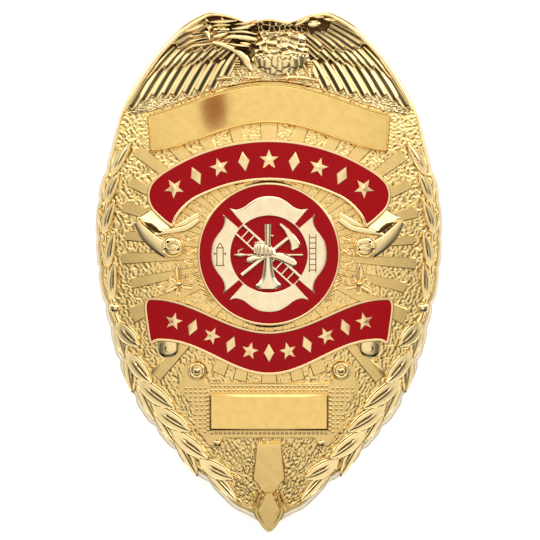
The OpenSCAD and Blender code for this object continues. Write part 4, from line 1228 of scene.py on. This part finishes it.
# Cartouche: its lower and upper edges, the dots' fields and the studs beside it, a stud's numbers being
# place, radius, rise, level over the cartouche, points around and foot
plateForm = {
    "bevel": 0.28, "half": 13.3, "dotPitch": 0.72, "rowPitch": 0.62, "dot": 0.22, "bead": 0.24,
    "beadPitch": 0.64,
    "cartoucheLow": [
        (-13.35, -16.7), (-11.0, -19.9), (-10.8, -22.8), (-9.55, -24.1), (-8.85, -25.3), (-7.45, -25.6),
        (-6.65, -24.2), (6.65, -24.2), (7.45, -25.6), (8.85, -25.3), (9.55, -24.1), (10.8, -22.8),
        (11.0, -19.9), (13.35, -16.7),
    ],
    "cartoucheHigh": [
        (-13.35, -16.7), (-12.5, -15.4), (-12.5, -13.7), (-11.25, -13.0), (-10.15, -13.8), (-9.55, -15.5),
        (-8.95, -16.1), (8.95, -16.1), (9.55, -15.5), (10.15, -13.8), (11.25, -13.0), (12.5, -13.7),
        (12.5, -15.4), (13.35, -16.7),
    ],
    "beadRows": (-16.6, -17.2, -23.45), "beadColumn": 8.85, "beadColumnFrom": -23.0, "beadColumnTo": -17.4,
    "studs": [(10.5, -14.35, 1.45, 0.55, -0.05, 40, 0.3), (10.5, -14.35, 0.6, 0.5, 0.35, 24, 0.3),
              (7.56, -25.0, 0.62, 0.4, -0.05, 24, 0.3), (14.75, -10.95, 1.6, 0.34, 0.4, 48, 0.8)],
    "knob": (10.5, -14.35), "knobRing": 0.98, "disc": (14.75, -10.95), "coilTurn": (2.6, 6.6, 12),
    "coilReach": (1.1, 0.2, 12),
}


# Dots of the cartouche: a wide field of six rows above a narrow one, those kept that lie on it
def cartoucheDots():
    f = plateForm
    low = np.array(f["cartoucheLow"]).T
    high = np.array(f["cartoucheHigh"]).T
    wide = [(9.25 - 0.18 * (j > 3), i, -16.9, j) for j in range(6) for i in range(5)]
    narrow = [(9.3, i, -20.8, j) for j in range(5) for i in range(max(1, 3 - j // 2))]
    fromX, i, fromY, j = np.array(wide + narrow).T
    x = fromX + i * f["dotPitch"]
    y = fromY - j * f["rowPitch"]
    on = (np.interp(x, *low) + 0.3 < y) & (y < np.interp(x, *high) - 0.3)
    right = xy(x, y)[on]
    return np.vstack([right, mirrored(right)])


# Number plate on its cartouche, with rows of dots, beads, knobs and the discs under the lower ribbon
def numberPlate():
    f = plateForm
    cart = levels["cartouche"]
    x = np.linspace(-f["half"], f["half"], 220)
    edges = [np.array(f[edge]).T for edge in ("cartoucheLow", "cartoucheHigh")]
    low, high = (xy(x, np.interp(x, *edge)) for edge in edges)
    body = pad(low, high, cart, -0.2, 0.14, across=6, along=220)
    makePiece("cartouche", [body], gold["satin"], "shield_body", sharp=25)
    low = [plateLow[:2], (plateHigh[0], plateLow[1])]
    high = [(plateLow[0], plateHigh[1]), plateHigh[:2]]
    face = pad(low, high, levels["plate"], 0.4, f["bevel"], across=4, along=4, slope=0.4)
    makePiece("number_plate_face", [face], gold["panel"], "number_plate", sharp=20)
    row = np.arange(-13, 14) * f["beadPitch"]
    beads = [xy(row, np.full(27, y)) for y in f["beadRows"]]
    column = np.arange(f["beadColumnFrom"], f["beadColumnTo"], f["rowPitch"])
    beads += [xy(np.full(len(column), side * f["beadColumn"]), column) for side in (-1, 1)]
    rows = ((cartoucheDots(), f["dot"]), (np.vstack(beads), f["bead"]))
    grids = [studs(places, radius, 0.14, cart - 0.01) for places, radius in rows]
    makePiece("cartouche_dots", grids, gold["carved"], "shield_body", sharp=0)
    knobs = []
    t = np.linspace(0, 2 * np.pi, 13)[:-1]
    ring = f["knob"] + f["knobRing"] * xy(np.cos(t), np.sin(t))
    t = np.linspace(*f["coilTurn"])
    spiral = f["disc"] + np.linspace(*f["coilReach"])[:, None] * xy(np.cos(t), np.sin(t))
    for side in (-1, 1):
        knobs += [
            studs([(side * x, y)], radius, rise, cart + level, around=around, foot=foot)
            for x, y, radius, rise, level, around, foot in f["studs"]
        ]
        way = np.array([side, 1])
        knobs.append((strap(ring * way, 0.3, 0.35, cart + 0.2, closed=True, count=60), True, True))
        # The spiral on each disc is a dark line of painted shadow
        knobs.append(shadow(spiral * way, 0.09, [1.08, 1.24], 0.8, 60, power=2))
    makePiece("cartouche_knobs", knobs, gold["carved"], "shield_body")


tabForm = {
    "tab": [(-25.0, 1.8), (-27.5, 2.05), (-30.15, 2.35), (-31.3, 1.3), (-32.5, 0.38)],
    "spear": [(-32.3, 0.38), (-33.2, 0.85), (-34.0, 1.35), (-34.8, 1.68), (-35.5, 1.55), (-36.3, 1.05),
              (-37.0, 0.5), (-37.5, 0.12)],
    "border": [(-33.6, 1.6), (-34.2, 2.0), (-34.9, 2.2), (-35.6, 2.05), (-36.4, 1.5), (-37.1, 0.9),
               (-37.9, 0.15)],
    "bars": [([(0.95, -32.0), (1.3, -32.7), (1.85, -34.4)], [0.12, 0.26, 0.2], 0.5),
             ([(1.5, -31.9), (1.85, -32.6), (2.35, -34.0)], [0.1, 0.2, 0.12], 0.35)],
}


# Tab below the cartouche and the spear point in the tip, both with a low ridge
def tabAndSpear():
    grids = []
    for name, high, ends, edge in (("tab", 0.8, 0.5, 1), ("spear", 0.95, 0.1, 1), ("border", 0.4, 0.1, 0)):
        y, w = np.array(tabForm[name]).T
        at = np.linspace(y[0], y[-1], 60)
        half = np.interp(-at, -y, w) if name == "tab" else smoothTable(-at, xy(-y, w))
        low = xy(-half, at)
        plate = pad(low, low * [-1, 1], high, -0.2, 0.12, across=7, along=60, slope=0.45, ends=ends)
        # The lower borders of the tab and the spear are drawn as dark lines of painted shade
        grids.append((plate, False, True, padEdgeShade(plate) * edge * (plate[..., 1] < y[0] - 0.6)))
    for side in (-1, 1):
        for bar, wide, level in tabForm["bars"]:
            grids.append(strap(np.array(bar) * [side, 1], wide, 0.25, level))
    makePiece("tab_and_spear", grids, gold["satin"], "shield_body", sharp=20)


numberPlate()
tabAndSpear()
print("plate done")

tailForm = {
    "plane": [[(-19.1, 7.95), (-16.3, 5.5)], [(-16.75, 9.45), (-14.1, 6.3)]], "planeHigh": 1.3,
    "planeFall": 0.28,
    "front": [[(-19.95, 7.2), (-18.9, 5.2), (-17.4, 3.6), (-16.0, 2.5), (-14.9, 1.95)],
              [(-18.9, 7.6), (-17.7, 6.5), (-16.5, 5.5), (-15.5, 4.9), (-14.9, 4.6)]],
    "frontHigh": 1.25, "frontCrown": 0.1, "foot": -0.1, "curl": (-14.0, 3.7), "curlOuter": 1.68,
    "lip": (0.16, 0.35, 1.15), "coil": (0.16, 0.22, 1.34), "coilOval": (0.95, 0.5), "coilUp": (0.0, 0.05),
    "fold": [(-18.2, 7.3), (-17.0, 6.55), (-16.1, 5.9), (-15.5, 5.85)],
    "inside": [([0.05, 0.42, 0.4, 0.05], [0.95, 1.3], 0.2, 0.5),
               ([0.02, 0.1, 0.12, 0.03], [0.98, 1.33], 0.3, 1.0)],
    "cuts": [(-0.75, 0.72, 0.16), (0.85, -0.45, 0.14), (-1.15, -0.35, 0.12)],
    "cut": [(-0.22, -0.12), (0.0, 0.0), (0.22, 0.12)],
    "tails": [
        ([(-16.6, 5.45), (-15.0, 5.85), (-13.4, 6.1), (-11.9, 6.5), (-10.2, 7.6)], [0.3, 0.46, 0.5, 0.5, 0.4],
         0.22, [1.05, 0.9, 0.8], 2.4),
        ([(-14.2, 6.75), (-13.0, 6.75), (-11.7, 7.35), (-10.2, 8.35)], [0.1, 0.42, 0.46, 0.36], 0.16, 0.6, 4),
    ],
}


# Folded straps beside the seal: a plane that falls away from the fold, its inside painted dark as shade, the
# front strap, the curl with cuts drawn as painted shadow lines, and the tail
def scrollTails():
    f = tailForm
    plain = []
    dark = []
    a = np.linspace(0, 2 * np.pi, 33)[:-1]
    circle = xy(np.cos(a), np.sin(a))
    outer = f["curlOuter"]
    for flip in (1, -1):
        sign = np.array([flip, 1.0])
        one, two = (evenly(np.array(edge) * sign, 30) for edge in f["plane"])
        sheet = pad(one, two, 0.0, 0.0, 0.08, across=14, along=30)
        fall = f["planeHigh"] - f["planeFall"] * (sheet[..., 1] - 5.5)
        fall[:, [0, -1]] = f["foot"]
        fall[[0, -1]] = f["foot"]
        sheet[..., 2] += fall
        # The fold's inside: dark bars of painted shade
        for half, level, foot, shade in f["inside"]:
            dark.append(shadow(np.array(f["fold"]) * sign, half, level, foot, 40, shade=shade))
        low, high = (smoothCurve(np.array(edge) * sign, 40) for edge in f["front"])
        front = pad(
            low, high, f["frontHigh"], f["foot"], 0.22, across=9, along=40, crown=f["frontCrown"], slope=0.5
        )
        middle = np.array(f["curl"]) * sign
        edge = middle + (outer - f["lip"][0]) * circle
        lip = strap(edge, *f["lip"], foot=f["foot"], closed=True, count=72)
        inner = middle + f["coilUp"] + circle * f["coilOval"]
        coil = strap(inner, *f["coil"], foot=0.4, closed=True, count=60)
        face = studs([middle], outer - 0.25, 0.22, 1.2, around=48, foot=0.8)
        # Cuts on the curl, drawn as painted shadow lines
        for x, y, wide in f["cuts"]:
            cut = middle + [x * flip, y] + np.array(f["cut"])
            dark.append(shadow(cut, [0.03, wide, 0.03], 1.5, 0.4, 14))
        plain += [sheet, front, (lip, True, True), face, (coil, True, True)]
        for path, half, rise, level, power in f["tails"]:
            tail = strap(np.array(path) * sign, half, rise, level, foot=f["foot"], power=power, count=50)
            plain.append(tail)
    makePiece("scroll_tails", plain, gold["carved"], "upper_ribbon")
    makePiece("scroll_tail_shadows", dark, gold["line"], "upper_ribbon", sharp=0)


sprigForm = {
    "leaves": [(-10.6, 5.3, 205, 1.7, 0.8), (-10.6, 3.6, 215, 1.9, 0.85), (-10.7, 1.2, 165, 1.9, 0.85),
               (-10.6, 2.3, 150, 1.2, 0.6), (-10.4, 0.6, 210, 1.1, 0.55), (-11.0, 4.4, 140, 1.2, 0.6)],
    "petals": [(-13.1, -1.5, 92, 2.9, 1.2), (-13.3, -1.9, 205, 2.1, 1.1), (-12.9, -1.9, 350, 2.1, 1.0),
               (-13.1, -2.0, 265, 1.4, 0.9), (-13.0, -1.5, 45, 1.7, 0.9), (-13.2, -1.5, 140, 1.6, 0.9)],
    "form": [(0, 0.2), (0.15, 0.6), (0.45, 1.0), (0.75, 0.85), (0.92, 0.4), (1, 0.0)],
    "bars": ((-10.5, -0.5), (-8.6, -4.0), 6), "bar": [(-0.5, 0.2), (0.45, -0.2)], "barForm": (0.2, 0.3, 0.3),
    "eye": (13.1, -1.75), "eyeForm": (0.42, 0.35, 0.65),
}


# Sprigs and flowers beside the seal, mirrored
def sprigs():
    f = sprigForm
    grids = []
    for table, high in ((f["leaves"], 0.75), (f["petals"], 0.8)):
        t = np.array(table)
        way = turned(np.array([[1.0, 0.0]]), t[:, 2])
        leaf = bladeGrid(t[:, :2], way, t[:, 3], t[:, 4], f["form"], leafHeight(0.15, high), -0.1, 18, 13)
        grids += [leaf, mirrored(leaf)]
    bars = [strap(middle + f["bar"], *f["barForm"], count=8) for middle in np.linspace(*f["bars"])]
    bars = np.array(bars)
    grids += [bars, mirrored(bars)]
    eye = np.array(f["eye"])
    grids.append(studs([eye * [-1, 1], eye], *f["eyeForm"], around=20))
    makePiece("sprigs", grids, gold["carved"], "shield_body")


scrollTails()
sprigs()
print("scrolls done")

toolForm = {
    "horn": [(0.79, -0.12, 0.066), (0.6, -0.118, 0.062), (0.31, -0.108, 0.05), (0.05, -0.12, 0.07),
             (-0.16, -0.135, 0.09), (-0.42, -0.155, 0.115), (-0.63, -0.19, 0.165), (-0.74, -0.26, 0.25),
             (-0.82, -0.36, 0.335), (-0.88, -0.33, 0.28), (-0.915, -0.22, 0.17)],
    "handle": [(-0.71, -0.545), (0.5, 0.42)],
    "axeOut": [(0.30, 0.815), (0.39, 0.755), (0.47, 0.69), (0.55, 0.615), (0.63, 0.53), (0.70, 0.44),
               (0.76, 0.355), (0.80, 0.29), (0.82, 0.24), (0.78, 0.175)],
    "axeIn": [(0.26, 0.78), (0.335, 0.695), (0.41, 0.61), (0.46, 0.5), (0.5, 0.4), (0.54, 0.32),
              (0.57, 0.22), (0.565, 0.15), (0.56, 0.105), (0.62, 0.1)],
    "crown": [(-0.39, 0.31), (-0.24, 0.335), (-0.11, 0.33), (0.03, 0.235), (0.12, 0.17), (0.18, 0.08),
              (0.2, -0.03)],
    "crownLow": [(-0.42, -0.04), (-0.3, -0.07), (-0.2, -0.08), (-0.1, -0.08), (0.0, -0.08), (0.1, -0.07),
                 (0.2, -0.06)],
    "brimHigh": [(-0.56, -0.08), (-0.48, -0.05), (-0.39, -0.03), (-0.2, -0.05), (0, -0.06), (0.2, 0.04),
                 (0.3, 0.035), (0.4, 0.02), (0.55, -0.05), (0.65, -0.11), (0.7, -0.17), (0.72, -0.24)],
    "brimLow": [(-0.62, -0.19), (-0.52, -0.23), (-0.39, -0.19), (-0.17, -0.12), (0, -0.1), (0.2, -0.15),
                (0.3, -0.185), (0.4, -0.235), (0.5, -0.28), (0.6, -0.32), (0.67, -0.32), (0.71, -0.29)],
    "ladder": [(-0.77, 0.65), (0.71, -0.7)], "ladderWide": 0.3, "rails": [(-1, 0.13), (1, 0.19)],
    "railRise": 0.12, "railDrop": 0.14, "rungs": 9, "rung": (0.1, 0.1), "rungDrop": 0.16,
    "pole": [(-0.9, -0.02), (0.88, -0.02)], "hook": [(-0.8, 0.0), (-0.78, 0.09), (-0.66, 0.15)],
    "spike": [(-0.92, -0.02), (-0.75, -0.02), (-0.58, -0.02)], "stud": (0.094, 0.477),
    "combs": [(-0.33, -0.03, 0.3), (-0.24, -0.05, 0.33), (-0.13, -0.05, 0.33), (-0.03, -0.05, 0.27),
              (0.07, -0.04, 0.2)],
}
# Bars: name, half widths, rise, level under the top, power and count
toolBars = [
    ("pole", 0.14, 0.15, 0.1, 3, 30), ("hook", [0.13, 0.12, 0.06], 0.12, 0.1, 2, 16),
    ("spike", [0.05, 0.3, 0.1], 0.16, 0.08, 2, 20), ("handle", 0.3, 0.2, 0.06, 2.6, 30),
]
# Plates: lower and upper edge, height over the top, points along and across, and crown
toolPlates = [
    ("axeIn", "axeOut", 0.1, 24, 4, 0.0), ("crownLow", "crown", 0.08, 30, 7, 0.25),
    ("brimLow", "brimHigh", 0.16, 40, 7, 0.12),
]


# Plan points of the emblem from shares of its radius
def inEmblem(points):
    return np.asarray(points, float) * sealForm["emblem"] + [0, sealY]


# Crossed tools: ladder, axe, pole hook, speaking horn and helmet, each a raised bevelled plate
def emblemTools():
    f = toolForm
    top = levels["seal"]
    foot = top - 0.4
    line = inEmblem(f["ladder"])
    way = (line[1] - line[0]) / np.linalg.norm(line[1] - line[0])
    side = np.array([-way[1], way[0]]) * f["ladderWide"] * sealForm["emblem"] / 2
    grids = [
        strap(line + side * s, half, f["railRise"], top - f["railDrop"], foot=foot, power=4, count=24)
        for s, half in f["rails"]
    ]
    grids += [
        strap([p - side, p + side], *f["rung"], top - f["rungDrop"], foot=foot, power=4, count=6)
        for p in evenly(line, f["rungs"] + 2)[1:-1]
    ]
    for name, half, rise, drop, power, count in toolBars:
        grids.append(strap(inEmblem(f[name]), half, rise, top - drop, foot=foot, power=power, count=count))
    for low, high, over, along, across, crown in toolPlates:
        one, two = (evenly(inEmblem(f[edge]), along) for edge in (low, high))
        grids.append(pad(one, two, top + over, foot, 0.1, across=across, along=along, crown=crown))
    y, a, b = np.array(f["horn"]).T
    at = np.linspace(y[0], y[-1], 40)
    left, right = (inEmblem(xy(np.interp(-at, -y, half), at)) for half in (a, b))
    grids.append(pad(left, right, top + 0.02, foot, 0.08, across=9, along=40, crown=0.24))
    grids.append(studs([inEmblem(f["stud"])], 0.2, 0.2, top, around=16))
    for x, low, high in f["combs"]:
        path = inEmblem([(x * 0.9, low), (x, (low + high) / 2), (x * 0.85, high)])
        grids.append(strap(path, [0.13, 0.2, 0.1], [0.14, 0.2, 0.1], top + 0.28, foot=top, count=20))
    makePiece("emblem_tool_reliefs", grids, gold["pale"], "emblem_tools", sharp=30)


# Hydrant and ladder, as open lines
lobeForm = {"half": 0.075, "rise": 0.03, "sunk": 0.005}
lobeLines = [
    [(-7.55, -1.6), (-7.55, 0.9)], [(-6.65, -1.6), (-6.65, 0.9)], [(-7.75, -1.66), (-6.45, -1.66)],
    [(-7.65, 0.9), (-6.55, 0.9)], [(-7.5, 0.95), (-7.1, 1.58), (-6.7, 0.95)], [(-7.9, 0.25), (-7.9, -0.15)],
    [(-6.3, 0.25), (-6.3, -0.15)], [(-7.9, 0.05), (-7.55, 0.05)], [(-6.65, 0.05), (-6.3, 0.05)],
    [(5.85, 2.85), (5.85, -2.65)], [(6.8, 2.85), (6.8, -2.65)],
] + [[(5.85, y), (6.8, y)] for y in np.linspace(2.4, -2.3, 7)]


# Plain drawings in the cross's side lobes: a hydrant at the left and a ladder at the right
def lobeDrawings():
    f = lobeForm
    level = levels["seal"] - f["sunk"]
    lines = [np.array(one) + [0, sealY] for one in lobeLines]
    grids = [strap(one, f["half"], f["rise"], level, count=8 if len(one) == 2 else 16) for one in lines]
    makePiece("lobe_drawings", grids, gold["line"], "seal_disc", sharp=0)


gapForm = {"spread": 19, "out": 0.14, "half": [0.02, 0.14, 0.02], "level": 0.5, "foot": 0.3}


# Shadow lines in the narrow gaps above and below the seal
def gapShadows():
    grids = []
    g = gapForm
    for middle in (0, 180):
        a = np.radians(middle + np.linspace(-g["spread"], g["spread"], 9))
        arc = xy(np.sin(a), np.cos(a)) * (sealR + g["out"]) + [0, sealY]
        grids.append(shadow(arc, g["half"], g["level"], g["foot"], 60))
    makePiece("gap_shadows", grids, gold["line"], "shield_body", sharp=0)


emblemTools()
lobeDrawings()
gapShadows()
print("tools done")

# Brightness of the surroundings by the direction's share towards the badge's top, and towards either side;
# the sides open towards the top, and a brown card stands where the name panel's left end reflects it
skyForm = {
    "strength": 1.0,
    "alongStops": [(-1, 0.5), (-0.85, 0.3), (-0.76, 0.06), (-0.56, 0.06), (-0.47, 0.7), (-0.3, 0.97),
                   (0, 1), (0.37, 1), (0.43, 2.3), (0.57, 2.3), (0.63, 0.12), (0.8, 0.08), (0.9, 0.7),
                   (1, 0.7)],
    "acrossStops": [(0, 1), (0.28, 1), (0.38, 0.85), (0.48, 0.45), (0.6, 0.18), (0.75, 0.12), (0.85, 0.3),
                    (1, 0.5)],
    "opens": (0.12, 0.3), "openShare": 0.8,
    "card": {"at": (-0.188, 0.272), "size": (0.045, 0.04), "color": (0.3, 0.11, 0.05), "edge": (1.15, 0.85)},
    "lamps": {"keyLeft": ((-0.44, 0.36, 0.38), 0.24, 0.35), "keyRight": ((0.46, 0.36, 0.36), 0.3, 0.85),
              "backTop": ((0.05, 0.6, 0.36), 0.2, 0.25)},
}


# Grey bands over one share of the direction, from a low share to 1
def skyBand(tree, source, low, stops):
    move = addNode(tree, "MapRange", {"From Min": low, "Value": source})
    band = addNode(tree, "ValToRGB", {"Fac": move.outputs["Result"]})
    setRamp(band.color_ramp, [((at - low) / (1 - low), (value, value, value)) for at, value in stops])
    return band.outputs["Color"]


# Surroundings: the bands along times the bands across, the card over them, and three lamps aimed at the badge
def studio():
    scene = bpy.context.scene
    scene.world = bpy.data.worlds.new("studioSky")
    scene.world.use_nodes = True
    tree = scene.world.node_tree
    way = addNode(tree, "TexCoord", {}).outputs["Generated"]
    split = addNode(tree, "SeparateXYZ", {"Vector": way}).outputs
    aside = addNode(tree, "Math", {0: split["X"]}, operation="ABSOLUTE").outputs["Value"]
    low, high = skyForm["opens"]
    span = {"From Min": low, "From Max": high, "To Max": skyForm["openShare"], "Value": split["Y"]}
    upward = addNode(tree, "MapRange", span).outputs["Result"]
    bands = skyBand(tree, aside, 0, skyForm["acrossStops"])
    walls = addNode(tree, "Mix", {"A": bands, "B": (1, 1, 1, 1), "Factor": upward}, data_type="RGBA")
    bands = skyBand(tree, split["Y"], -1, skyForm["alongStops"])
    bands = {"A": bands, "B": walls.outputs["Result"], "Factor": 1}
    product = addNode(tree, "Mix", bands, data_type="RGBA", blend_type="MULTIPLY")
    card = skyForm["card"]
    away = addNode(tree, "VectorMath", {0: way, 1: (*card["at"], 0)}, operation="SUBTRACT")
    size = (1 / card["size"][0], 1 / card["size"][1], 0)
    shares = addNode(tree, "VectorMath", {0: away.outputs["Vector"], 1: size}, operation="MULTIPLY")
    length = addNode(tree, "VectorMath", {0: shares.outputs["Vector"]}, operation="LENGTH").outputs["Value"]
    start, end = card["edge"]
    edge = addNode(tree, "MapRange", {"From Min": start, "From Max": end, "Value": length})
    colors = {"A": product.outputs["Result"], "B": (*card["color"], 1), "Factor": edge.outputs["Result"]}
    carded = addNode(tree, "Mix", colors, data_type="RGBA").outputs["Result"]
    setInputs(tree, tree.nodes["Background"], {"Color": carded, "Strength": skyForm["strength"]})
    for name, (spot, size, power) in skyForm["lamps"].items():
        light = bpy.data.lights.new(name, "AREA")
        light.size = size
        light.energy = power
        lamp = bpy.data.objects.new(name, light)
        scene.collection.objects.link(lamp)
        lamp.location = spot
        lamp.rotation_euler = (-mathutils.Vector(spot)).to_track_quat("-Z", "Y").to_euler()


floorLook = {"side": 1.5, "color": (0.9, 0.9, 0.9), "roughness": 0.9, "glow": 0.55}
cameraForm = {"distance": 600.0, "frame": 79.2, "x": 0.147, "y": 0.295, "sensor": 36}


# Floor under the badge, a pale square that glows a little, and the camera straight above
def floorAndCamera():
    scene = bpy.context.scene
    side = floorLook["side"]
    mesh = bpy.data.meshes.new("floor")
    corners = [(-side, -side, 0), (side, -side, 0), (side, side, 0), (-side, side, 0)]
    mesh.from_pydata(corners, [], [(0, 1, 2, 3)])
    material, tree, shader = newMaterial("paleFloor")
    setInputs(tree, shader, {
        "Base Color": (*floorLook["color"], 1), "Roughness": floorLook["roughness"],
        "Emission Color": (1, 1, 1, 1), "Emission Strength": floorLook["glow"],
    })
    mesh.materials.append(material)
    floor = bpy.data.objects.new("floor", mesh)
    scene.collection.objects.link(floor)
    f = cameraForm
    camera = bpy.data.cameras.new("camera")
    camera.sensor_width = f["sensor"]
    camera.lens = f["sensor"] * f["distance"] / f["frame"]
    camera.clip_start = 0.01
    holder = bpy.data.objects.new("camera", camera)
    scene.collection.objects.link(holder)
    holder.location = (f["x"] * mm, f["y"] * mm, f["distance"] * mm)
    scene.camera = holder


studio()
floorAndCamera()
bpy.context.scene.view_settings.view_transform = "Standard"

pinLook = {"color": (0.72, 0.69, 0.63), "roughness": 0.3}


# Plain bright metal over the whole pin, one colour and one roughness
def dressPin(pin):
    material, tree, shader = newMaterial("pinSteel")
    look = {"Base Color": (*pinLook["color"], 1), "Metallic": 1, "Roughness": pinLook["roughness"]}
    setInputs(tree, shader, look)
    pin.data.materials.clear()
    pin.data.materials.append(material)


dressPin(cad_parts["pin_clasp"])
